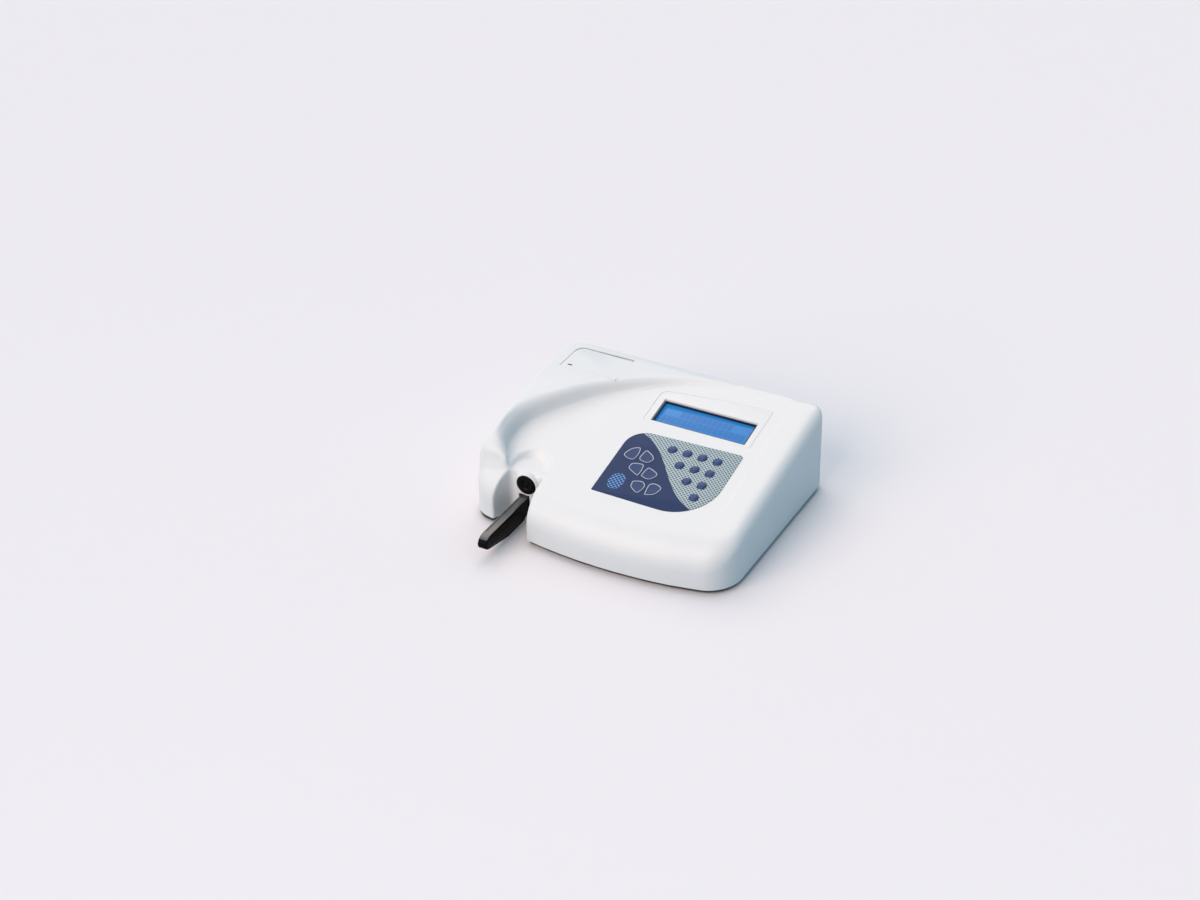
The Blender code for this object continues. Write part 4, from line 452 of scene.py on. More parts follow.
def block(low, high):
    return prism(rectangle(low, high), low[2], high[2])


def turned(profile, sides):
    """A solid turned about Z from a (radius, height) profile that starts and ends on the axis."""
    bm = bmesh.new()
    verts = [bm.verts.new((radius, 0.0, height)) for radius, height in profile]
    edges = [bm.edges.new(pair) for pair in zip(verts, verts[1:])]
    bmesh.ops.spin(
        bm, geom=verts + edges, cent=(0.0, 0.0, 0.0), axis=(0.0, 0.0, 1.0), angle=FULL_TURN, steps=sides,
        use_merge=True,
    )
    bmesh.ops.remove_doubles(bm, verts=bm.verts, dist=WELD)
    bmesh.ops.recalc_face_normals(bm, faces=bm.faces)
    return bm


def laid(bm, matrix):
    bmesh.ops.transform(bm, matrix=matrix, verts=bm.verts)
    return bm


def soften(bm, width, segments=3, angle=SMOOTH_ANGLE):
    """Rounds every edge sharper than the angle."""
    edges = [edge for edge in bm.edges if edge.is_manifold and edge.calc_face_angle() > angle]
    bmesh.ops.bevel(
        bm, geom=edges, offset=width, segments=segments, profile=0.5, affect="EDGES", material=-1,
        clamp_overlap=True,
    )
    return bm


def mesh_object(name, bm):
    mesh = bpy.data.meshes.new(name)
    bm.to_mesh(mesh)
    bm.free()
    obj = bpy.data.objects.new(name, mesh)
    bpy.context.scene.collection.objects.link(obj)
    return obj


def evaluated(obj):
    """Replaces the object's mesh by what its modifiers make of it."""
    graph = bpy.context.evaluated_depsgraph_get()
    mesh = bpy.data.meshes.new_from_object(obj.evaluated_get(graph))
    mesh.materials.clear()
    obj.modifiers.clear()
    obj.data = mesh
    return obj


def combined(obj, cutters, operation="DIFFERENCE", solver="MANIFOLD"):
    """Cuts the meshes out of the object, or joins them to it."""
    tools = [mesh_object("tool", bm) for bm in cutters]
    for tool in tools:
        modifier = obj.modifiers.new("tool", "BOOLEAN")
        modifier.operation = operation
        modifier.solver = solver
        modifier.object = tool
    evaluated(obj)
    for tool in tools:
        bpy.data.objects.remove(tool)
    return obj


def finished(obj, materials, body, nodes, smooth=SMOOTH_ANGLE):
    """Gives a piece its finishes, its shading, its body and the nodes that it stands for."""
    for material in materials:
        obj.data.materials.append(material)
    obj.data.shade_smooth()
    obj.data.set_sharp_from_angle(angle=smooth)
    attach(obj, body)
    if nodes:
        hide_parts(*nodes)
    return obj


# Finishes

def moulded(name, shade, roughness, grain=0.35 * MM, depth=0.004 * MM, spread=0.02, **constants):
    """Moulded plastic: a fine grain, with slight clouds in its colour and gloss."""
    finish = Finish(name, **constants)
    clouds = finish.noise(35 * MM)
    darker = [value * (1 - spread) for value in shade]
    finish.set("Base Color", finish.mix(clouds, shade, darker))
    finish.set("Roughness", finish.noise(6 * MM) * 0.08 + (roughness - 0.04))
    finish.bump(finish.noise(grain), depth)
    return finish.material


def metal(name, shade, roughness, stretch=(1.0, 18.0, 1.0)):
    """Sheet or turned metal with fine lines along one way."""
    finish = Finish(name, Metallic=1.0)
    lines = finish.noise(1.2 * MM, place=finish.placed(scale=stretch))
    finish.set("Base Color", finish.mix(lines, shade, [value * 0.8 for value in shade]))
    finish.set("Roughness", lines * 0.15 + roughness)
    finish.bump(lines, 0.01 * MM)
    return finish.material


def paper_finish():
    finish = Finish("roll_paper")
    fibres = finish.noise(0.5 * MM, 4.0, finish.placed(scale=(4.0, 1.0, 1.0)))
    finish.set("Base Color", finish.mix(fibres, (0.90, 0.90, 0.88), (0.82, 0.82, 0.79)))
    finish.set("Roughness", fibres * 0.1 + 0.8)
    finish.bump(fibres, 0.02 * MM)
    return finish.material


def board_finish():
    """Solder resist with the faint relief of tracks."""
    finish = Finish("circuit_board")
    place = finish.node("ShaderNodeSeparateXYZ", inputs={0: finish.object_place})
    across = place.part("X").cell(2.54 * MM) < 0.25 * MM
    along = place.part("Y").cell(5.08 * MM) < 0.3 * MM
    tracks = across.math("MAXIMUM", along)
    finish.set("Base Color", finish.mix(tracks, (0.015, 0.13, 0.055), (0.03, 0.22, 0.09)))
    finish.set("Roughness", finish.noise(4 * MM) * 0.1 + 0.35)
    finish.bump(tracks, 0.03 * MM)
    return finish.material


DISPLAY_BLUE = (0.019, 0.178, 0.465)
DISPLAY_CELL = (0.013, 0.132, 0.385)
CELL_PITCH = 5.75 * MM
CELL_WIDTH = 4.9 * MM
CELL_HEIGHT = 9.2 * MM
ROW_PITCH = 10.4 * MM
LOWER_CELLS = 16
UPPER_CELLS = 10


def display_finish():
    """The lit blue window, with a lower row of sixteen character cells and an upper row of ten."""
    finish = Finish("display_window", **{"Specular IOR Level": 0.25})
    low, high = panel_box("lcd_glass")
    x, y, _ = finish.on_panel()
    x = x - (low.x + high.x) / 2
    y = y - (low.y + high.y) / 2
    inside = x.cell(CELL_PITCH) < CELL_WIDTH / 2
    row = y.cell(ROW_PITCH) < CELL_HEIGHT / 2
    lower = (y < 0.0) * (y > -ROW_PITCH) * (abs(x) < LOWER_CELLS * CELL_PITCH / 2)
    upper = (y > 0.0) * (y < ROW_PITCH) * (abs(x) < UPPER_CELLS * CELL_PITCH / 2)
    cells = inside * row * lower.math("MAXIMUM", upper)
    shade = finish.mix(cells, DISPLAY_BLUE, DISPLAY_CELL)
    finish.set("Base Color", shade)
    finish.set("Emission Color", shade)
    finish.set("Emission Strength", 0.35)
    finish.set("Roughness", finish.noise(9 * MM) * 0.05 + 0.10)
    return finish.material


# The curve between the navy and the grey print: its middle, reach and width as shares of the keypad
CURVE_MIDDLE_SHARES = (0.481, 0.526)
CURVE_REACH_SHARE = 0.495
CURVE_WIDTH_SHARE = 0.318
WEAVE_PITCH = 2.8 * MM
WEAVE_TURN = math.radians(40.0)
PATCH_MIDDLE_SHARES = (0.150, 0.215)
PATCH_SIZE_SHARES = (0.070, 0.115)
PATCH_PITCH = 3.1 * MM
PETAL_PITCH = 2.1 * MM


def lattice(x, y, pitch, share):
    """A mask of round dots on a slanting square grid, their radius a share of the pitch."""
    cosine, sine = math.cos(WEAVE_TURN), math.sin(WEAVE_TURN)
    along = (x * cosine - y * sine).cell(pitch)
    across = (x * sine + y * cosine).cell(pitch)
    return (along * along + across * across) < (pitch * share) ** 2


def film_finish():
    """Navy print on the left and a fine grey weave on the right of a flowing curve, with a dotted oval."""
    sizes = bpy.context.scene.analyzer_keypad
    finish = Finish("keypad_print", **{"Specular IOR Level": 0.18})
    low, high = panel_box("keypad_overlay")
    size = high - low
    x, y, _ = finish.on_panel()
    across = (x - (low.x + size.x * CURVE_MIDDLE_SHARES[0])) / (size.x * CURVE_WIDTH_SHARE)
    curve = low.y + size.y * CURVE_MIDDLE_SHARES[1] - across.math("TANH") * (size.y * CURVE_REACH_SHARE)
    right = y > curve
    woven = finish.mix(lattice(x, y, WEAVE_PITCH, 0.34), sizes.weave, [value * 0.22 for value in sizes.weave])
    patch_x = (x - (low.x + size.x * PATCH_MIDDLE_SHARES[0])) / (size.x * PATCH_SIZE_SHARES[0])
    patch_y = (y - (low.y + size.y * PATCH_MIDDLE_SHARES[1])) / (size.y * PATCH_SIZE_SHARES[1])
    oval = (patch_x * patch_x + patch_y * patch_y) < 1.0
    dots = lattice(x, y, PATCH_PITCH, 0.36)
    navy = finish.mix(finish.noise(14 * MM) * 0.35, sizes.navy, [value * 1.25 for value in sizes.navy])
    left = finish.mix(oval * dots, navy, sizes.dots)
    finish.set("Base Color", finish.mix(right, left, woven))
    finish.set("Roughness", right * 0.12 + finish.noise(3 * MM) * 0.08 + 0.36)
    finish.bump(finish.noise(0.3 * MM), 0.004 * MM)
    return finish.material


def petal_finish():
    """The petal's face: navy print speckled with dark and pale dots."""
    sizes = bpy.context.scene.analyzer_keypad
    finish = Finish("petal_print", **{"Specular IOR Level": 0.18})
    x, y, _ = finish.on_panel()
    dots = lattice(x, y, PETAL_PITCH, 0.33)
    pale = [value * 1.9 + 0.02 for value in sizes.navy]
    finish.set("Base Color", finish.mix(dots, pale, [value * 0.4 for value in sizes.navy]))
    finish.set("Roughness", dots * 0.1 + 0.35)
    finish.bump(finish.noise(0.3 * MM), 0.004 * MM)
    return finish.material


def dome_finish():
    sizes = bpy.context.scene.analyzer_keypad
    finish = Finish("key_dome", **{"Specular IOR Level": 0.35})
    shade = [value * 1.45 for value in sizes.navy]
    finish.set("Base Color", finish.mix(finish.noise(3 * MM), shade, [value * 1.3 for value in shade]))
    finish.set("Roughness", finish.noise(2 * MM) * 0.08 + 0.24)
    finish.bump(finish.noise(0.4 * MM), 0.004 * MM)
    return finish.material


GLOSS_GRAIN = 2.0 * MM
GLOSS_DEPTH = 0.001 * MM
PRINT_DEPTH = 0.002 * MM


def glossy(name, shade, roughness, shine, grain=GLOSS_GRAIN, spread=0.3):
    """Smooth black plastic, whose shine is the share of light that it mirrors."""
    return moulded(name, shade, roughness, grain, GLOSS_DEPTH, spread, **{"Specular IOR Level": shine})


def make_finishes():
    """Every finish, by the slot of the record that it shows."""
    made = {
        "housing_white": moulded("moulded_white", (0.775, 0.778, 0.784), 0.38, spread=0.012),
        "bezel_white": moulded("bezel_plastic", (0.775, 0.775, 0.786), 0.36, spread=0.012),
        "base_dark": moulded("base_plastic", (0.045, 0.052, 0.055), 0.55, depth=0.02 * MM, spread=0.15),
        "rubber_black": moulded("foot_rubber", (0.020, 0.020, 0.020), 0.80, 0.6 * MM, 0.03 * MM, 0.3),
        "gloss_black": glossy("gloss_black_plastic", (0.010, 0.010, 0.011), 0.16, 0.9),
        "button_black": glossy("button_plastic", (0.002, 0.002, 0.002), 0.12, 0.07),
        "part_black": moulded("part_plastic", (0.028, 0.028, 0.030), 0.48, depth=0.015 * MM, spread=0.2),
        "gear_nylon": moulded("gear_plastic", (0.78, 0.76, 0.68), 0.45, depth=0.01 * MM, spread=0.06),
        "pad_white": moulded("reference_tile", (0.90, 0.90, 0.88), 0.60, depth=0.01 * MM, spread=0.03),
        "steel": metal("sheet_steel", (0.55, 0.56, 0.58), 0.24),
        "tin_plate": metal("tinned_sheet", (0.62, 0.63, 0.64), 0.30, (12.0, 1.0, 1.0)),
        "circuit_green": board_finish(),
        "paper": paper_finish(),
        "display_blue": display_finish(),
        "overlay_navy": film_finish(),
        "petal_navy": petal_finish(),
        "key_navy": dome_finish(),
        # Dark colour for the lining of the display window's walls
        "gasket": moulded("display_edge", (0.004, 0.010, 0.035), 0.4, depth=PRINT_DEPTH),
        # The tray's one black plastic in two copies: the side faces get painted shade, a darker black that
        # hardly mirrors, and the upturned faces get a painted sheen, a lighter grey.
        "tray_side": glossy("deep_black_plastic", (0.004, 0.004, 0.005), 0.3, 0.03, spread=0.02),
        "tray_top": glossy("sheen_black_plastic", (0.085, 0.088, 0.093), 0.22, 0.9, 3.0 * MM),
        "petal_line": moulded("petal_line_print", (0.40, 0.44, 0.52), 0.4, depth=PRINT_DEPTH),
    }
    return made


# White shell

def front_line(x):
    return FRONT + (x - FRONT_APEX_SHARE * WIDTH) ** 2 / (2 * FRONT_CURVE_RADIUS)


def arm_front(x):
    return ARM_FRONT + ARM_FRONT_SLOPE * (x - LEFT)


def body_outline(step):
    nose = LEFT + ARM_FRONT_END
    corners = [
        (RIGHT, BACK, REAR_RIGHT_RADIUS),
        (LEFT, BACK, REAR_LEFT_RADIUS),
        (LEFT, arm_front(LEFT), FRONT_LEFT_RADIUS),
        (nose, arm_front(nose), 0.0),
    ]
    corners += [(share * WIDTH, front_line(share * WIDTH), 0.0) for share in FRONT_ARC_SHARES]
    corners.append((RIGHT, front_line(RIGHT), FRONT_RIGHT_RADIUS))
    return rounded(corners, step)


def panel_height(y):
    return PANEL_FRONT_HEIGHT + PANEL_SLOPE * (y - FRONT)


def crest_points(steps):
    rise = TOP - PANEL_FRONT_HEIGHT
    points = [(FRONT + DEPTH * along, PANEL_FRONT_HEIGHT + rise * up) for along, up in CREST_SHARES]
    return points[:1] + smooth_through(points[1:], steps)


def crest_height(y, points):
    for (y0, z0), (y1, z1) in zip(points, points[1:]):
        if y < y1 or (y1, z1) == points[-1]:
            return z0 + (z1 - z0) * (y - y0) / (y1 - y0)


def crowned(outline, radii, height, breaks, bottom, steps):
    """A closed form over the outline. Its top follows height(y), with these radii round its rim."""
    bm = bmesh.new()
    moves = mitres(outline)
    verts = ring(bm, outline, -TOP)
    bmesh.ops.contextual_create(bm, geom=ring_edges(bm, verts))
    for step in range(steps + 1):
        angle = math.pi / 2 * step / steps
        verts = raised_ring(bm, verts)
        for vertex, (x, y), move, radius in zip(verts, outline, moves, radii):
            inward = radius * (1 - math.cos(angle))
            vertex.co = (x + move.x * inward, y + move.y * inward, -radius * (1 - math.sin(angle)))
    bmesh.ops.contextual_create(bm, geom=ring_edges(bm, verts))
    for y in breaks:
        everything = bm.verts[:] + bm.edges[:] + bm.faces[:]
        bmesh.ops.bisect_plane(
            bm, geom=everything, dist=WELD, plane_co=(0.0, y, 0.0), plane_no=(0.0, 1.0, 0.0)
        )
    for vertex in bm.verts:
        if vertex.co.z < GAP - TOP:
            vertex.co.z = bottom
        else:
            vertex.co.z += height(vertex.co.y)
    bmesh.ops.triangulate(bm, faces=bm.faces)
    bmesh.ops.recalc_face_normals(bm, faces=bm.faces)
    return bm


def panel_form(wall, bottom, step, rings):
    sizes = bpy.context.scene.analyzer_housing
    outline = inset(body_outline(step), wall)
    radii = []
    for move in mitres(outline):
        facing_front = max(0.0, move.normalized().y)
        facing_back = max(0.0, -move.normalized().y)
        radius = sizes.shoulder_side
        radius += (sizes.shoulder_front - sizes.shoulder_side) * facing_front ** SHOULDER_TURN_POWER
        radius += (sizes.shoulder_back - sizes.shoulder_side) * facing_back
        radii.append(max(radius - wall, GAP))
    drop = wall / math.cos(PANEL_TILT)
    return crowned(outline, radii, lambda y: panel_height(y) - drop, [], bottom, rings)


def cove_line(steps):
    cove = [(LEFT + WIDTH * across, FRONT + DEPTH * along) for across, along in COVE_SHARES]
    return smooth_through(cove, steps)


def arm_form(wall, bottom, step, rings, cove_steps):
    """The raised arm from its right end, round the back and the left side, to the cove."""
    sizes = bpy.context.scene.analyzer_housing
    crest = crest_points(cove_steps)
    end = RIGHT - ARM_END_FROM_RIGHT
    nose = LEFT + ARM_NOSE_FROM_LEFT
    cove = [point for point in cove_line(cove_steps) if point[0] < end - sizes.cove_edge]
    corners = [
        (end, cove[-1][1], 0.0),
        (end, BACK, 0.0),
        (LEFT, BACK, REAR_LEFT_RADIUS),
        (LEFT, arm_front(LEFT), FRONT_LEFT_RADIUS),
        (nose, arm_front(nose), 0.0),
    ]
    outline = inset(rounded(corners, step), WELD)
    radii = []
    for x, y in outline:
        if y > BACK - REAR_LEFT_RADIUS / 2:
            radii.append(sizes.arm_back)
        elif x < LEFT + FRONT_LEFT_RADIUS / 4:
            radii.append(sizes.arm_side)
        else:
            radii.append(sizes.arm_nose)
    for x, y in cove:
        outline.append((x, y))
        nearness = min(max((COVE_EDGE_SOFT - y) / COVE_EDGE_REACH, 0.0), 1.0)
        widest = sizes.cove_edge + sizes.cove_edge_extra * nearness
        radii.append(min(widest, COVE_EDGE_SHARE * (crest_height(y, crest) - panel_height(y))))
    radii[0] = radii[-1]
    radii[1] = sizes.arm_back
    outline = inset(outline, wall)
    radii = [max(radius - wall, GAP) for radius in radii]
    breaks = [y for y, _ in crest]
    return crowned(outline, radii, lambda y: crest_height(y, crest) - wall, breaks, bottom, rings)


def niche_form(grow, bottom):
    past = FRONT - NICHE_DEPTH
    splay = math.tan(NICHE_SPLAY) * (NICHE_BACK - past)
    corners = [
        (NICHE_LEFT, NICHE_BACK, NICHE_CORNER),
        (NICHE_LEFT - splay, past, 0.0),
        (NICHE_RIGHT, past, 0.0),
        (NICHE_RIGHT, NICHE_BACK, NICHE_CORNER),
    ]
    return prism(inset(rounded(corners), -grow), bottom, TOP + OVERRUN)


def scoop_form(grow):
    high = TOP + OVERRUN
    rim = SCOOP_FLOOR - grow + SCOOP_RIM_RISE
    profile = [
        (0.0, high),
        (SCOOP_RIM_RADIUS + grow, high),
        (SCOOP_RIM_RADIUS + grow, rim),
        (SCOOP_FLOOR_RADIUS + grow, SCOOP_FLOOR - grow),
        (0.0, SCOOP_FLOOR - grow),
    ]
    return laid(turned(profile, 72), Matrix.Translation(SCOOP_PLACE))


def smoothed(bm, verts, passes):
    for _ in range(passes):
        bmesh.ops.smooth_vert(
            bm, verts=verts, factor=0.5, use_axis_x=True, use_axis_y=True, use_axis_z=True
        )


def near_cove(place, cove):
    if place.z < panel_height(place.y) - COVE_REACH:
        return False
    return any((place.xy - point).length < COVE_REACH for point in cove)


def near_sill(place):
    """Whether a place is near the edge between the scoop's floor and the niche's back wall."""
    if not NICHE_LEFT + NICHE_CORNER < place.x < NICHE_RIGHT - NICHE_CORNER:
        return False
    return abs(place.y - NICHE_BACK) < SILL_REACH and abs(place.z - SCOOP_FLOOR) < SILL_REACH


def fade_arm(bm):
    """Lowers the arm's right end into the panel's surface."""
    for vertex in bm.verts:
        panel = panel_height(vertex.co.y)
        share = min(max((ARM_FADE_END - vertex.co.x) / (ARM_FADE_END - ARM_FADE_START), 0.0), 1.0)
        if vertex.co.z > panel:
            vertex.co.z = panel + (vertex.co.z - panel) * share * share * (3 - 2 * share)


def recess_form():
    """A wedge whose floor sinks from nothing at the left to a small step at the right."""
    outline = rounded([(x * MM, y * MM, radius * MM) for x, y, radius in RECESS_CORNERS])
    bm = prism(outline, -OVERRUN, OVERRUN, inset(outline, -OVERRUN))
    start, end = (Vector(point) * MM for point in RECESS_ZERO)
    away = (end - start).orthogonal().normalized()
    for vertex in bm.verts:
        if vertex.co.z < 0:
            vertex.co.z = RECESS_RATE * away.dot(vertex.co.xy - start)
    return laid(bm, PANEL)


KEYPAD_LOW, KEYPAD_HIGH = panel_box("keypad_overlay")
KEYPAD_LEDGE = 3.5 * MM
KEYPAD_RADII = (1.5 * MM, 46.0 * MM, 4.0 * MM, 22.0 * MM)
KEYPAD_TOP_DROP = 4.0 * MM
BEZEL_LOW, BEZEL_HIGH = panel_box("display_bezel")
BEZEL_FLANGE = 1.1 * MM
BEZEL_CORNER = 3.5 * MM
BEZEL_LEFT_CORNER = 8.0 * MM
BEZEL_DROP = 11.5 * MM
BEZEL_SEAT = 3.0 * MM
GLASS_LOW, GLASS_HIGH = panel_box("lcd_glass")
GLASS_MARGIN = 2.4 * MM
COVER_LOW, COVER_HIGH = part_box("printer_cover")
PAPER_GAP = 1.7 * MM
COVER_CORNER = 10.0 * MM
COVER_RIGHT_CORNER = 2.0 * MM
THROUGH_WALL = 6.0 * MM
HOLLOW_GRAIN = 3.2 * MM
SLOT_SIDE = 0.6 * MM
SLOT_HEADROOM = 2.0 * MM
SLOT_HALF_WIDTH = 5.7 * MM
SLOT_DEPTH = 5.0 * MM
STEM_HOLE_RADIUS = 7.1 * MM
ROCKER_RECESS = 1.5 * MM


def keypad_outline(grow=0.0):
    low, high = KEYPAD_LOW, KEYPAD_HIGH
    front_left, front_right, rear_right, rear_left = KEYPAD_RADII
    corners = [
        (low.x, low.y + front_left, front_left),
        (high.x, low.y, front_right),
        (high.x, high.y, rear_right),
        (low.x, high.y - KEYPAD_TOP_DROP, rear_left),
    ]
    return rounded_inset(corners, -grow)


def bezel_outline(grow=0.0):
    low, high = BEZEL_LOW, BEZEL_HIGH
    corners = [
        (low.x, low.y, BEZEL_CORNER),
        (high.x, low.y, BEZEL_CORNER),
        (high.x, high.y, BEZEL_CORNER),
        ((low.x + high.x) / 2, high.y - BEZEL_DROP / 3, 0.0),
        (low.x, high.y - BEZEL_DROP, BEZEL_LEFT_CORNER),
    ]
    return rounded_inset(corners, -grow)


def window_outline(grow=0.0):
    low = GLASS_LOW.xy + Vector((GLASS_MARGIN - grow, GLASS_MARGIN - grow))
    high = GLASS_HIGH.xy - Vector((GLASS_MARGIN - grow, GLASS_MARGIN - grow))
    return rectangle(low, high)


def cover_outline(grow=0.0, back=0.0):
    low, high = COVER_LOW, COVER_HIGH
    corners = [
        (low.x - grow, low.y - grow, 0.0),
        (high.x + grow, low.y - grow, 0.0),
        (high.x + grow, high.y + back, COVER_RIGHT_CORNER),
        (low.x - grow, high.y + back, COVER_CORNER),
    ]
    return rounded(corners)


def opening_round(node, grow, depth):
    """A block round a node at the back wall, reaching in by depth."""
    low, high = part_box(node)
    return block(
        (low.x - grow, BACK - depth, low.z - grow), (high.x + grow, BACK + OVERRUN, high.z + grow)
    )


def shell_openings(wall):
    """Everything that is cut through the shell for the pieces it carries."""
    film = KEYPAD_LOW.z - GAP
    flange = BEZEL_HIGH.z - BEZEL_FLANGE - GAP
    cutters = [
        recess_form(),
        laid(prism(keypad_outline(JOINT), film, OVERRUN), PANEL),
        laid(prism(keypad_outline(-KEYPAD_LEDGE), -THROUGH_WALL, OVERRUN), PANEL),
        laid(prism(bezel_outline(JOINT), flange, OVERRUN), PANEL),
        laid(prism(window_outline(BEZEL_SEAT), -THROUGH_WALL, OVERRUN), PANEL),
        prism(cover_outline(GAP, PAPER_GAP), TOP - THROUGH_WALL, TOP + OVERRUN),
    ]
    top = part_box("strip_tray")[1].z + SLOT_HEADROOM
    groove = middle(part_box("calibration_pad")).x
    cutters.append(
        block(
            (groove - SLOT_HALF_WIDTH - SLOT_SIDE, NICHE_BACK - OVERRUN, 0.0),
            (groove + SLOT_HALF_WIDTH, NICHE_BACK + SLOT_DEPTH, top),
        )
    )
    reach, radius = SLOT_DEPTH, STEM_HOLE_RADIUS
    stem = turned([(0.0, reach), (radius, reach), (radius, -reach), (0.0, -reach)], 48)
    centre = middle(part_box("start_button"))
    turn = Matrix.Rotation(math.pi / 2, 4, "X")
    cutters.append(laid(stem, Matrix.Translation((centre.x, NICHE_BACK, centre.z)) @ turn))
    for socket in ("reader_port", "power_jack", "serial_port"):
        cutters.append(opening_round(socket, GAP, wall + OVERRUN))
    cutters.append(opening_round("switch_frame", GAP, ROCKER_RECESS))
    cutters.append(opening_round("switch_frame", -BEZEL_FLANGE, wall + OVERRUN))
    return cutters


def even_mesh(obj, grain):
    remesh = obj.modifiers.new("even mesh", "REMESH")
    remesh.mode = "VOXEL"
    remesh.voxel_size = grain
    return evaluated(obj)


def make_housing(finishes):
    sizes = bpy.context.scene.analyzer_housing
    below = -OVERRUN
    shell = mesh_object("housing_shell", panel_form(0.0, below, FINE_STEP, 12))
    arm = arm_form(0.0, below, FINE_STEP, 10, 6)
    fade_arm(arm)
    combined(shell, [arm], "UNION", "EXACT")
    combined(shell, [niche_form(0.0, below - OVERRUN), scoop_form(0.0)], solver="EXACT")
    even_mesh(shell, sizes.voxel)
    bm = bmesh.new()
    bm.from_mesh(shell.data)
    smoothed(bm, bm.verts[:], sizes.softening)
    cove = [Vector(point) for point in cove_line(2) if point[1] > NICHE_BACK + COVE_REACH]
    smoothed(bm, [vertex for vertex in bm.verts if near_cove(vertex.co, cove)], sizes.cove_softening)
    smoothed(bm, [vertex for vertex in bm.verts if near_sill(vertex.co)], sizes.sill_softening)
    cut = bmesh.ops.bisect_plane(
        bm, geom=bm.verts[:] + bm.edges[:] + bm.faces[:], dist=WELD, plane_co=(0.0, 0.0, SKIRT),
        plane_no=(0.0, 0.0, 1.0), clear_inner=True,
    )
    rim = [item for item in cut["geom_cut"] if isinstance(item, bmesh.types.BMEdge)]
    bmesh.ops.holes_fill(bm, edges=rim)
    bm.to_mesh(shell.data)
    bm.free()

    wall = sizes.wall
    hollow = mesh_object("hollow", panel_form(wall, below, COARSE_STEP, 4))
    combined(hollow, [arm_form(wall, below, COARSE_STEP, 3, 2)], "UNION", "EXACT")
    combined(hollow, [niche_form(wall, below - OVERRUN), scoop_form(wall)], solver="EXACT")
    even_mesh(hollow, HOLLOW_GRAIN)
    inner = bmesh.new()
    inner.from_mesh(hollow.data)
    bpy.data.objects.remove(hollow)
    combined(shell, [inner])
    combined(shell, shell_openings(wall))
    white = [finishes["housing_white"]]
    finished(shell, white, "casing", ["upper_housing"], SHELL_SMOOTH_ANGLE)


# Display

BEZEL_CHAMFER = 1.3 * MM
BEZEL_EDGE = 0.35 * MM
BEZEL_SIDE = 1.6 * MM
DARK_LINING_WIDTH = 0.5 * MM
PANE_EDGE = 0.2 * MM


def make_display(finishes):
    """The bezel with slanting sides down to the window, and the window's pane."""
    top = BEZEL_HIGH.z
    deep = BEZEL_LOW.z
    plate = prism(bezel_outline(), top - BEZEL_FLANGE, top)
    soften(plate, BEZEL_EDGE)
    bezel = mesh_object("display_frame", plate)
    sides = prism(window_outline(BEZEL_SIDE), deep, top - BEZEL_FLANGE / 2)
    combined(bezel, [sides], "UNION", "EXACT")
    opening = prism(window_outline(), deep - OVERRUN, top + WELD, window_outline(BEZEL_CHAMFER))
    combined(bezel, [opening], solver="EXACT")
    bezel.data.transform(PANEL)
    finished(bezel, [finishes["bezel_white"]], "casing", ["display_bezel"])

    # A dark lining over the window's walls, from the pane up to the chamfer, which keeps them dark under any
    # light.
    gasket = mesh_object("display_gasket", prism(window_outline(JOINT), GLASS_HIGH.z, top - BEZEL_CHAMFER))
    view = prism(window_outline(-DARK_LINING_WIDTH), GLASS_HIGH.z - OVERRUN, top)
    combined(gasket, [view], solver="EXACT")
    gasket.data.transform(PANEL)
    finished(gasket, [finishes["gasket"]], "casing", [])

    pane = prism(window_outline(GLASS_MARGIN), GLASS_LOW.z, GLASS_HIGH.z)
    soften(pane, PANE_EDGE, 2)
    glass = mesh_object("display_pane", laid(pane, PANEL))
    finished(glass, [finishes["display_blue"]], "casing", ["lcd_glass"])


# Keypad. Each petal's corners are (x, y) about its middle, in millimetres

PETALS = (
    ((-6.7, -5.7), (4.1, -9.0), (6.7, 0.2), (4.1, 9.0), (-3.6, 4.9)),
    ((-6.5, -5.6), (2.8, -7.8), (6.9, -2.7), (4.7, 2.6), (-4.1, 7.8), (-6.4, 4.7)),
    ((-5.7, -2.3), (5.1, -7.9), (6.8, -6.8), (7.1, 0.3), (4.8, 7.9), (-5.1, 6.4), (-7.1, 2.5)),
    ((-7.3, -3.7), (-5.5, -6.1), (2.1, -7.4), (7.3, -1.1), (5.7, 3.7), (-3.2, 7.4), (-5.9, 6.1)),
    ((-6.9, 1.5), (-5.1, -3.0), (3.6, -8.0), (6.7, -2.2), (6.9, 3.8), (2.0, 8.0), (-6.4, 5.9)),
    ((-5.4, -7.6), (-3.4, -8.6), (4.0, -4.7), (6.7, 4.7), (-0.5, 8.6), (-6.7, 5.5)),
)
PETAL_STEPS = 6
PETAL_FLANGE = 0.9 * MM
PETAL_SINK = 0.12 * MM
KEY_RADIUS = 4.75 * MM
KEY_FLANGE = 1.1 * MM
KEY_CURVE = 0.985
FLANGE_THICKNESS = 0.5 * MM


def petal_outline(index, grow=0.0):
    points = [(x * MM, y * MM) for x, y in PETALS[index]]
    around = smooth_through(points[-2:] + points + points[:2], PETAL_STEPS)
    return inset(around[2 * PETAL_STEPS:-PETAL_STEPS - 1], -grow)


def number_key_names():
    return [f"key_{index}" for index in range(10)]


def make_film(finishes):
    sizes = bpy.context.scene.analyzer_keypad
    sheet = soften(prism(keypad_outline(), KEYPAD_LOW.z, KEYPAD_HIGH.z), sizes.film_edge, 2)
    film = mesh_object("keypad_film", sheet)
    holes = []
    for name in number_key_names():
        hole = circle(middle(panel_box(name)), KEY_RADIUS + GAP, 48)
        holes.append(prism(hole, -THROUGH_WALL, OVERRUN))
    for index in range(len(PETALS)):
        centre = middle(panel_box(f"function_key_{index + 1}"))
        outline = [(x + centre.x, y + centre.y) for x, y in petal_outline(index, GAP)]
        holes.append(prism(outline, -THROUGH_WALL, OVERRUN))
    combined(film, holes, solver="EXACT")
    film.data.transform(PANEL)
    finished(film, [finishes["overlay_navy"]], "casing", ["keypad_overlay"])


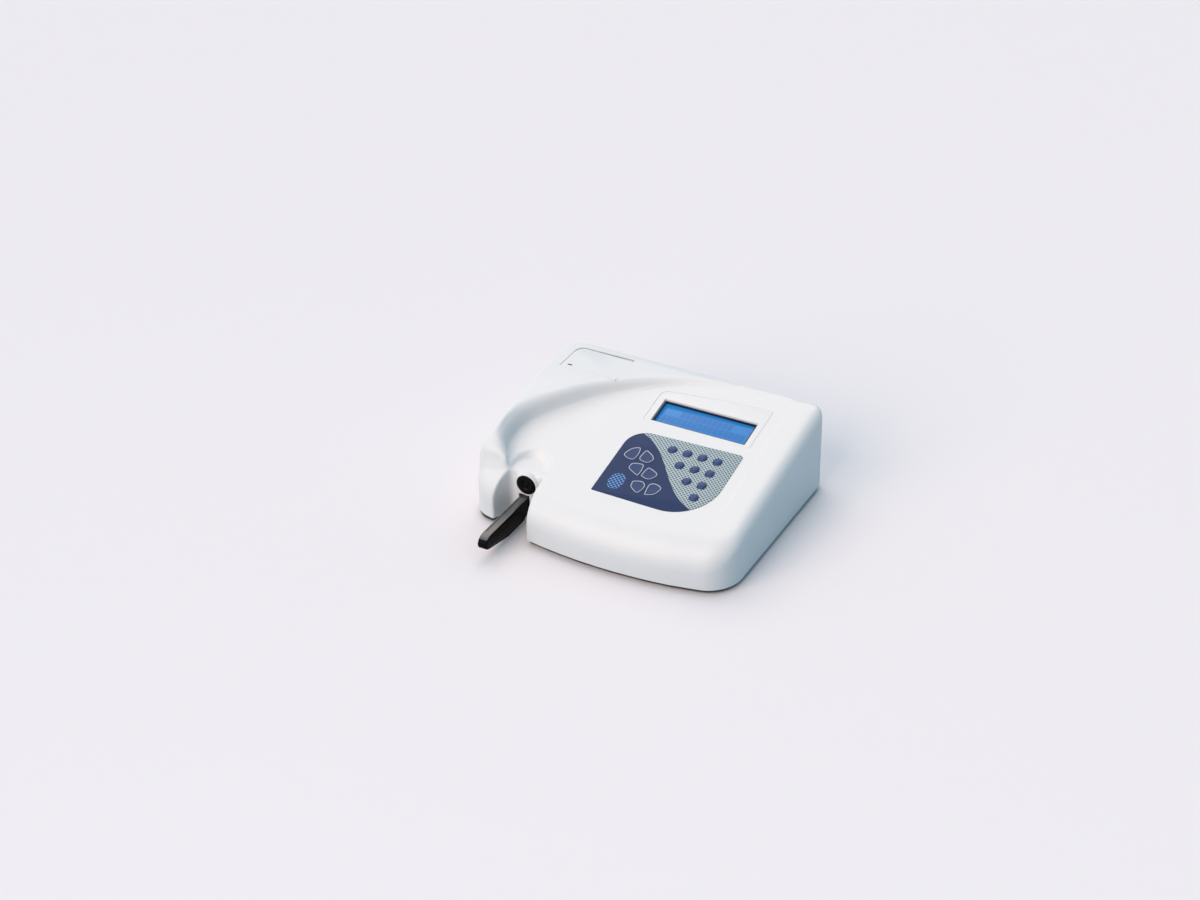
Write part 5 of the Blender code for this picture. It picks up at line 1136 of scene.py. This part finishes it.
def make_number_keys(finishes):
    """Ten domes with a rolled edge that runs down into the film."""
    sizes = bpy.context.scene.analyzer_keypad
    rise = sizes.dome_rise
    steps = 12
    for name in number_key_names():
        low, high = panel_box(name)
        flange = KEY_RADIUS + KEY_FLANGE
        profile = [(0.0, rise)]
        for step in range(1, steps + 1):
            out = math.sin(math.pi / 2 * step / steps)
            profile.append((KEY_RADIUS * out, rise * math.sqrt(1 - (KEY_CURVE * out) ** 2)))
        profile += [(KEY_RADIUS, low.z + FLANGE_THICKNESS), (flange, low.z + FLANGE_THICKNESS)]
        profile += [(flange, low.z), (0.0, low.z)]
        centre = middle((low, high))
        dome = laid(turned(profile, 48), PANEL @ Matrix.Translation((centre.x, centre.y, 0.0)))
        finished(mesh_object(f"number_{name}", dome), [finishes["key_navy"]], name, [name])


def make_petal_keys(finishes):
    """Six low petals, each with a raised pale line round a speckled face."""
    sizes = bpy.context.scene.analyzer_keypad
    for index in range(len(PETALS)):
        name = f"function_key_{index + 1}"
        low, high = panel_box(name)
        bm = prism(petal_outline(index), low.z + FLANGE_THICKNESS, high.z)
        top = max(bm.faces, key=lambda face: face.calc_center_median().z)
        line = bmesh.ops.inset_region(bm, faces=[top], thickness=sizes.line, use_even_offset=True)
        for face in line["faces"]:
            face.material_index = 1
        bmesh.ops.translate(bm, verts=top.verts[:], vec=(0.0, 0.0, -PETAL_SINK))
        flange = prism(petal_outline(index, PETAL_FLANGE), low.z, low.z + FLANGE_THICKNESS)
        mesh = bpy.data.meshes.new("flange")
        flange.to_mesh(mesh)
        flange.free()
        bm.from_mesh(mesh)
        bpy.data.meshes.remove(mesh)
        centre = middle((low, high))
        petal = laid(bm, PANEL @ Matrix.Translation((centre.x, centre.y, 0.0)))
        materials = [finishes["petal_navy"], finishes["petal_line"]]
        finished(mesh_object(f"petal_{name}", petal), materials, name, [name])


# Start button

CAP_DEPTH = 2.4 * MM
CAP_EDGE = 1.5 * MM
DISH_SHARE = 0.55
DISH_DEPTH = 1.4 * MM
NUB_SHARE = 0.5
NUB_RISE = 1.2 * MM
STEM_RADIUS = 6.8 * MM
STEM_FLANGE = 1.4 * MM
STEM_FLANGE_THICKNESS = 1.2 * MM
COLLAR_THICKNESS = 1.5 * MM
COLLAR_DROP = 0.5 * MM
COLLAR_EDGE = 0.4 * MM
# The dish's wall, as (share of the dish's radius, share of its depth down)
DISH_SHARES = ((0.60, 1.0), (0.75, 6 / 7), (0.92, 9 / 28), (1.0, 3 / 35), (1.12, 0.0))


def make_start_button(finishes):
    """A glossy cap with a shallow dish and a rolled rim, on its stem."""
    low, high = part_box("start_button")
    centre = middle((low, high))
    radius = (high.x - low.x) / 2
    face = NICHE_BACK - low.y
    back = face - CAP_DEPTH
    dish = DISH_SHARE * radius
    bottom = face - DISH_DEPTH
    angles = [math.pi / 2 * step / 8 for step in range(9)]
    profile = [(NUB_SHARE * dish * math.sin(turn), bottom + NUB_RISE * math.cos(turn)) for turn in angles]
    profile += [(out * dish, face - down * DISH_DEPTH) for out, down in DISH_SHARES]
    out, up = radius - CAP_EDGE, face - CAP_EDGE
    profile += [(out + CAP_EDGE * math.sin(turn), up + CAP_EDGE * math.cos(turn)) for turn in angles]
    inner = NICHE_BACK - high.y
    seat = inner + STEM_FLANGE_THICKNESS
    flange = STEM_RADIUS + STEM_FLANGE
    profile += [(radius, back), (STEM_RADIUS, back), (STEM_RADIUS, seat)]
    profile += [(flange, seat), (flange, inner), (0.0, inner)]
    turn = Matrix.Rotation(math.pi / 2, 4, "X")
    cap = laid(turned(profile, 96), Matrix.Translation((centre.x, NICHE_BACK, centre.z)) @ turn)
    black = [finishes["button_black"]]
    finished(mesh_object("start_cap", cap), black, "start_button", ["start_button"])
    inside = radius + GAP
    outside = radius + COLLAR_THICKNESS
    edge = COLLAR_EDGE
    front = face - COLLAR_DROP
    profile = [(inside, -OVERRUN), (outside, -OVERRUN), (outside, front - edge)]
    profile += [(outside - edge / 3, front - edge / 3), (outside - edge, front), (inside, front)]
    bm = bmesh.new()
    verts = [bm.verts.new((out, 0.0, up)) for out, up in profile]
    edges = [bm.edges.new((verts[index - 1], vertex)) for index, vertex in enumerate(verts)]
    bmesh.ops.spin(
        bm, geom=verts + edges, cent=(0.0, 0.0, 0.0), axis=(0.0, 0.0, 1.0), angle=FULL_TURN, steps=96,
        use_merge=True,
    )
    bmesh.ops.recalc_face_normals(bm, faces=bm.faces)
    collar = laid(bm, Matrix.Translation((centre.x, NICHE_BACK, centre.z)) @ turn)
    finished(mesh_object("button_collar", collar), [finishes["housing_white"]], "casing", [])


# Strip tray. The nose in profile, as (share of nose length back from the tip, share of keel height down)

NOSE_SHARES = (
    (0.300, 0.0), (0.200, 0.012), (0.110, 0.070), (0.035, 0.190), (0.0, 0.375), (0.045, 0.560),
    (0.190, 0.675), (0.600, 0.838), (1.0, 1.0),
)
NOSE_LENGTH = 42.5 * MM
KEEL_HEIGHT = 22.3 * MM
SHANK_HEIGHT = 15.5 * MM
TRAY_WIDTH = 10.0 * MM
TRAY_EDGE = 1.3 * MM
TRAY_EDGE_ANGLE = math.radians(60.0)
# Least upward share of a tray face's normal that gets the painted sheen
PAINTED_SHEEN_MIN_UP = 0.75
KEEL_FROM_NICHE = 3.5 * MM
KEEL_SLANT = 6.0 * MM
GROOVE_HALF_WIDTH = 3.0 * MM
GROOVE_DEPTH = 0.6 * MM
GROOVE_FROM_TIP = 13.0 * MM
GROOVE_PAST_NICHE = 8.0 * MM
RIDGE_RADIUS = 0.28 * MM
RIDGE_LENGTH = 29.0 * MM
RIDGE_FROM_TIP = 8.0 * MM
RIDGE_DROP = 13.0 * MM
RIDGE_SLOPE = -0.10
RACK_PITCH = math.pi * 1.3 * MM
RACK_HEIGHT = 6.0 * MM
RACK_LEVEL = 17.0 * MM
RACK_TEETH = 20
RACK_ROOT = 1.0 * MM
TOOTH_BASE_SHARE = 0.69
TOOTH_TIP_SHARE = 0.20


def make_tray(finishes):
    low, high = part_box("strip_tray")
    x = middle(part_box("calibration_pad")).x
    left = x - TRAY_WIDTH / 2
    keel_end = NICHE_BACK - KEEL_FROM_NICHE
    nose = [(low.y + along * NOSE_LENGTH, high.z - down * KEEL_HEIGHT) for along, down in NOSE_SHARES]
    profile = smooth_through(nose[:-1], 4) + [nose[-1]]
    profile += [(keel_end - KEEL_SLANT, high.z - KEEL_HEIGHT), (keel_end, high.z - SHANK_HEIGHT)]
    profile += [(high.y, high.z - SHANK_HEIGHT), (high.y, high.z)]
    bm = prism(profile, left, left + TRAY_WIDTH)
    axes = Matrix(((0, 0, 1, 0), (1, 0, 0, 0), (0, 1, 0, 0), (0, 0, 0, 1)))
    laid(bm, axes)
    tray = mesh_object("tray_arm", soften(bm, TRAY_EDGE, 5, TRAY_EDGE_ANGLE))
    pad_low, pad_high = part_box("calibration_pad")
    groove = [
        block(
            (x - GROOVE_HALF_WIDTH, low.y + GROOVE_FROM_TIP, high.z - GROOVE_DEPTH),
            (x + GROOVE_HALF_WIDTH, NICHE_BACK + GROOVE_PAST_NICHE, high.z + OVERRUN),
        ),
        block(
            (pad_low.x - GAP, pad_low.y - GAP, pad_low.z - GAP),
            (pad_high.x + GAP, pad_high.y + GAP, high.z + OVERRUN),
        ),
    ]
    combined(tray, groove, solver="EXACT")
    # Faces turned up less than this take the black with painted shade; the upturned ones keep the black with
    # a painted sheen.
    for face in tray.data.polygons:
        if face.normal.z < PAINTED_SHEEN_MIN_UP:
            face.material_index = 1
    materials = [finishes["tray_top"], finishes["tray_side"]]
    finished(tray, materials, "tray", ["strip_tray"], TRAY_SMOOTH_ANGLE)
    ridge = prism(circle((0.0, 0.0), RIDGE_RADIUS, 12), 0.0, RIDGE_LENGTH)
    start = Vector((left + TRAY_WIDTH, low.y + RIDGE_FROM_TIP, high.z - RIDGE_DROP))
    way = Vector((0.0, 1.0, RIDGE_SLOPE)).normalized()
    laid(ridge, Matrix.Translation(start) @ way.to_track_quat("Z", "X").to_matrix().to_4x4())
    finished(mesh_object("tray_ridge", ridge), [finishes["gloss_black"]], "tray", [])
    make_rack(finishes, left, low.x)


def make_rack(finishes, left, tip):
    """The rack's teeth on the tray's left side, which reach out to the tip."""
    middle_y = middle(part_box("drive_gear")).y
    thick = RACK_PITCH / 2 - GAP
    base, point = thick * TOOTH_BASE_SHARE, thick * TOOTH_TIP_SHARE
    outline = []
    for tooth in range(RACK_TEETH):
        y = middle_y - (tooth - 0.5) * RACK_PITCH
        outline += [(left, y + base), (tip, y + point), (tip, y - point), (left, y - base)]
    inside = left + RACK_ROOT
    outline += [(inside, outline[-1][1]), (inside, outline[0][1])]
    rack = prism(outline, RACK_LEVEL - RACK_HEIGHT / 2, RACK_LEVEL + RACK_HEIGHT / 2)
    finished(mesh_object("tray_rack", rack), [finishes["gloss_black"]], "tray", [])


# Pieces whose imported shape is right: a copy with its loose triangles joined and its edges eased

BASE_INSET = 0.8 * MM
EASED = {
    "base_cover": 0.30 * MM,
    "printer_cover": 0.0,
    "cover_window": 0.25 * MM,
    "platen_roller": 0.0,
    "paper_roll": 0.0,
    "paper_spindle": 0.0,
    "printer_chassis": 0.0,
    "thermal_head": 0.15 * MM,
    "tear_bar": 0.0,
    "cover_pin": 0.0,
    "power_rocker": 0.30 * MM,
    "switch_frame": 0.20 * MM,
    "reader_port": 0.0,
    "power_jack": 0.0,
    "serial_port": 0.0,
    "foot_front_left": 0.0,
    "foot_front_right": 0.0,
    "foot_rear_left": 0.0,
    "foot_rear_right": 0.0,
    "calibration_pad": 0.15 * MM,
}


def node_slots():
    """The slot of each node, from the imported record."""
    return {part["node"]: part["material_slot"] for part in frame["record"]["subparts"]}


def trimmed_base(bm):
    """Keeps the base under the arm's front as far behind the skirt as it is elsewhere."""
    base = mesh_object("base", bm)
    combined(base, [prism(inset(body_outline(FINE_STEP), BASE_INSET), -OVERRUN, TOP)], "INTERSECT", "EXACT")
    trimmed = bmesh.new()
    trimmed.from_mesh(base.data)
    bpy.data.objects.remove(base)
    return trimmed


def make_eased(finishes):
    bodies = frame["record"]["behaviour"]["bodies"]
    body_of = {node: body for body, nodes in bodies.items() for node in nodes}
    slots = node_slots()
    for node, edge in EASED.items():
        bm = bmesh.new()
        bm.from_mesh(frame["nodes"][node].data)
        bmesh.ops.remove_doubles(bm, verts=bm.verts, dist=WELD)
        bmesh.ops.dissolve_limit(bm, angle_limit=FLAT_ANGLE, verts=bm.verts[:], edges=bm.edges[:])
        if node == "base_cover":
            bm = trimmed_base(bm)
        if edge:
            soften(bm, edge, 2)
        slot = slots[node]
        finished(mesh_object(f"{node}_eased", bm), [finishes[slot]], body_of[node], [node])


def make_fittings(finishes):
    """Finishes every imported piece, for those that show their own shape, and makes the eased copies."""
    for node, slot in node_slots().items():
        obj = frame["nodes"][node]
        obj.data.materials.clear()
        obj.data.materials.append(finishes[slot])
    make_eased(finishes)


# Studio

CAMERA_PLACE = Vector((0.93022, -1.74983, 1.35268))
CAMERA_RIGHT = Vector((0.87951972, 0.47564115, -0.01451102))
CAMERA_UP = Vector((-0.24647022, 0.48141546, 0.84112519))
CAMERA_LENS = 72.15
KEY_WAY = (-0.27, -0.80, 0.53)
TOP_WAY = (-0.30, 0.42, 0.85)
SHADE_WAY = (0.78, -0.62, 0.0)
KEY_SPREAD = math.radians(50.0)
TOP_SPREAD = math.radians(60.0)
GLINT_PLACE = (0.2, -1.6, 1.3)
GLINT_SIZE = 0.04
GLINT_POWER = 1.4


def make_camera():
    data = bpy.data.cameras.new("camera")
    data.lens = CAMERA_LENS
    data.sensor_width = 36.0
    camera = bpy.data.objects.new("camera", data)
    back = CAMERA_RIGHT.cross(CAMERA_UP)
    turn = Matrix((CAMERA_RIGHT, CAMERA_UP, back)).transposed().to_4x4()
    camera.matrix_world = Matrix.Translation(CAMERA_PLACE) @ turn
    bpy.context.scene.collection.objects.link(camera)
    bpy.context.scene.camera = camera


def make_sun(name, way, spread, strength, shade):
    """A soft light that comes evenly from one way."""
    data = bpy.data.lights.new(name, "SUN")
    data.angle = spread
    data.energy = strength
    data.color = shade
    light = bpy.data.objects.new(name, data)
    light.rotation_euler = Vector(way).to_track_quat("Z", "Y").to_euler()
    bpy.context.scene.collection.objects.link(light)


def make_glint():
    """A small lamp whose reflection sparkles in the black pieces."""
    data = bpy.data.lights.new("glint", "AREA")
    data.size = GLINT_SIZE
    data.energy = GLINT_POWER
    light = bpy.data.objects.new("glint", data)
    light.location = GLINT_PLACE
    light.rotation_euler = Vector(GLINT_PLACE).to_track_quat("Z", "Y").to_euler()
    bpy.context.scene.collection.objects.link(light)


def seen_share(tree):
    """A socket of one for rays that show the background: from the camera, in gloss and through glass."""
    path = tree.nodes.new("ShaderNodeLightPath")
    share = path.outputs["Is Camera Ray"]
    for name in ("Is Glossy Ray", "Is Transmission Ray"):
        both = tree.nodes.new("ShaderNodeMath")
        both.operation = "MAXIMUM"
        tree.links.new(share, both.inputs[0])
        tree.links.new(path.outputs[name], both.inputs[1])
        share = both.outputs[0]
    return share


def shaded_sky(tree, shade, share):
    """The sky's colour, darker towards the front right."""
    way = tree.nodes.new("ShaderNodeTexCoord").outputs["Generated"]
    dot = tree.nodes.new("ShaderNodeVectorMath")
    dot.operation = "DOT_PRODUCT"
    dot.inputs[1].default_value = SHADE_WAY
    tree.links.new(way, dot.inputs[0])
    spread = tree.nodes.new("ShaderNodeMapRange")
    spread.inputs["From Min"].default_value = 0.1
    spread.inputs["From Max"].default_value = 0.9
    tree.links.new(dot.outputs["Value"], spread.inputs["Value"])
    mix = tree.nodes.new("ShaderNodeMix")
    mix.data_type = "RGBA"
    mix.inputs[6].default_value = (*shade, 1.0)
    mix.inputs[7].default_value = (*(value * (1 - share) for value in shade), 1.0)
    tree.links.new(spread.outputs[0], mix.inputs[0])
    return mix.outputs[2]


def make_world(sizes):
    world = bpy.data.worlds.new("studio")
    world.use_nodes = True
    tree = world.node_tree
    tree.nodes.clear()
    mix = tree.nodes.new("ShaderNodeMixShader")
    tree.links.new(seen_share(tree), mix.inputs[0])
    for index, shade in ((1, sizes.sky), (2, sizes.backdrop)):
        background = tree.nodes.new("ShaderNodeBackground")
        background.inputs["Color"].default_value = (*shade, 1.0)
        tree.links.new(background.outputs[0], mix.inputs[index])
        if index == 1:
            tree.links.new(shaded_sky(tree, shade, sizes.shade), background.inputs["Color"])
    out = tree.nodes.new("ShaderNodeOutputWorld")
    tree.links.new(mix.outputs[0], out.inputs["Surface"])
    bpy.context.scene.world = world


def floor_finish(sizes):
    """A pale floor that takes the shadow, and throws less light back than it shows."""
    finish = Finish("floor", Roughness=0.9)
    clouds = finish.noise(0.8)
    seen = Value(finish, seen_share(finish.tree))
    shown = finish.mix(clouds, sizes.ground, [value * 0.99 for value in sizes.ground])
    finish.set("Base Color", finish.mix(seen, sizes.bounce, shown))
    finish.set("Specular IOR Level", 0.0)
    return finish.material


def make_floor(sizes):
    bm = bmesh.new()
    bmesh.ops.create_grid(bm, x_segments=8, y_segments=8, size=sizes.floor_size / 2)
    floor = mesh_object("floor", bm)
    floor.data.materials.append(floor_finish(sizes))


# Operators, one for each piece or group of like pieces

FINISHES = {}


def ready_finishes():
    if not FINISHES:
        FINISHES.update(make_finishes())
    return FINISHES


class Builder:
    """What the piece operators share: each runs its own build, and fails where a mesh comes out empty."""

    def execute(self, context):
        before = set(bpy.data.objects)
        self.build(ready_finishes())
        for obj in set(bpy.data.objects) - before:
            if not obj.data.polygons:
                raise RuntimeError(f"{obj.name} has no faces")
        return {"FINISHED"}


class ANALYZER_OT_housing(Builder, bpy.types.Operator):
    """Builds the white shell with its arm, panel, niche and openings"""
    bl_idname = "analyzer.housing"
    bl_label = "Housing"
    build = staticmethod(make_housing)


class ANALYZER_OT_display(Builder, bpy.types.Operator):
    """Builds the display's frame and lit window"""
    bl_idname = "analyzer.display"
    bl_label = "Display"
    build = staticmethod(make_display)


class ANALYZER_OT_film(Builder, bpy.types.Operator):
    """Builds the printed keypad film"""
    bl_idname = "analyzer.film"
    bl_label = "Keypad Film"
    build = staticmethod(make_film)


class ANALYZER_OT_number_keys(Builder, bpy.types.Operator):
    """Builds the ten domed number keys"""
    bl_idname = "analyzer.number_keys"
    bl_label = "Number Keys"
    build = staticmethod(make_number_keys)


class ANALYZER_OT_petal_keys(Builder, bpy.types.Operator):
    """Builds the six outlined petal keys"""
    bl_idname = "analyzer.petal_keys"
    bl_label = "Petal Keys"
    build = staticmethod(make_petal_keys)


class ANALYZER_OT_start_button(Builder, bpy.types.Operator):
    """Builds the round start button"""
    bl_idname = "analyzer.start_button"
    bl_label = "Start Button"
    build = staticmethod(make_start_button)


class ANALYZER_OT_tray(Builder, bpy.types.Operator):
    """Builds the black strip tray with its rack"""
    bl_idname = "analyzer.tray"
    bl_label = "Strip Tray"
    build = staticmethod(make_tray)


class ANALYZER_OT_fittings(Builder, bpy.types.Operator):
    """Eases the base, lid, sockets, feet and printer pieces, and finishes the pieces inside"""
    bl_idname = "analyzer.fittings"
    bl_label = "Fittings"
    build = staticmethod(make_fittings)


class ANALYZER_OT_studio(bpy.types.Operator):
    """Sets up the floor, soft light, background and camera"""
    bl_idname = "analyzer.studio"
    bl_label = "Studio"

    def execute(self, context):
        sizes = context.scene.analyzer_studio
        make_floor(sizes)
        make_sun("key_light", KEY_WAY, KEY_SPREAD, sizes.key_strength, sizes.warm)
        make_sun("top_light", TOP_WAY, TOP_SPREAD, sizes.top_strength, sizes.warm)
        make_glint()
        make_world(sizes)
        make_camera()
        context.scene.view_settings.view_transform = "Standard"
        return {"FINISHED"}


OPERATORS = (
    ANALYZER_OT_housing,
    ANALYZER_OT_display,
    ANALYZER_OT_film,
    ANALYZER_OT_number_keys,
    ANALYZER_OT_petal_keys,
    ANALYZER_OT_start_button,
    ANALYZER_OT_tray,
    ANALYZER_OT_fittings,
    ANALYZER_OT_studio,
)


class ANALYZER_PT_panel(bpy.types.Panel):
    """Lists the analyzer's sizes and operators"""
    bl_idname = "ANALYZER_PT_panel"
    bl_label = "Analyzer"
    bl_space_type = "VIEW_3D"
    bl_region_type = "UI"
    bl_category = "Analyzer"

    def draw(self, context):
        scene = context.scene
        for group in (scene.analyzer_housing, scene.analyzer_keypad, scene.analyzer_studio):
            box = self.layout.box()
            for name in group.__annotations__:
                box.prop(group, name)
        for operator in OPERATORS:
            self.layout.operator(operator.bl_idname)


CLASSES = (HousingSizes, KeypadSizes, StudioSizes, *OPERATORS, ANALYZER_PT_panel)


def register():
    for made in CLASSES:
        bpy.utils.register_class(made)
    bpy.types.Scene.analyzer_housing = PointerProperty(type=HousingSizes)
    bpy.types.Scene.analyzer_keypad = PointerProperty(type=KeypadSizes)
    bpy.types.Scene.analyzer_studio = PointerProperty(type=StudioSizes)


def unregister():
    del bpy.types.Scene.analyzer_studio
    del bpy.types.Scene.analyzer_keypad
    del bpy.types.Scene.analyzer_housing
    for made in reversed(CLASSES):
        bpy.utils.unregister_class(made)


def main():
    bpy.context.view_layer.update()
    register()
    bpy.ops.analyzer.housing()
    bpy.ops.analyzer.display()
    bpy.ops.analyzer.film()
    bpy.ops.analyzer.number_keys()
    bpy.ops.analyzer.petal_keys()
    bpy.ops.analyzer.start_button()
    bpy.ops.analyzer.tray()
    bpy.ops.analyzer.fittings()
    bpy.ops.analyzer.studio()


if __name__ == "__main__":
    main()
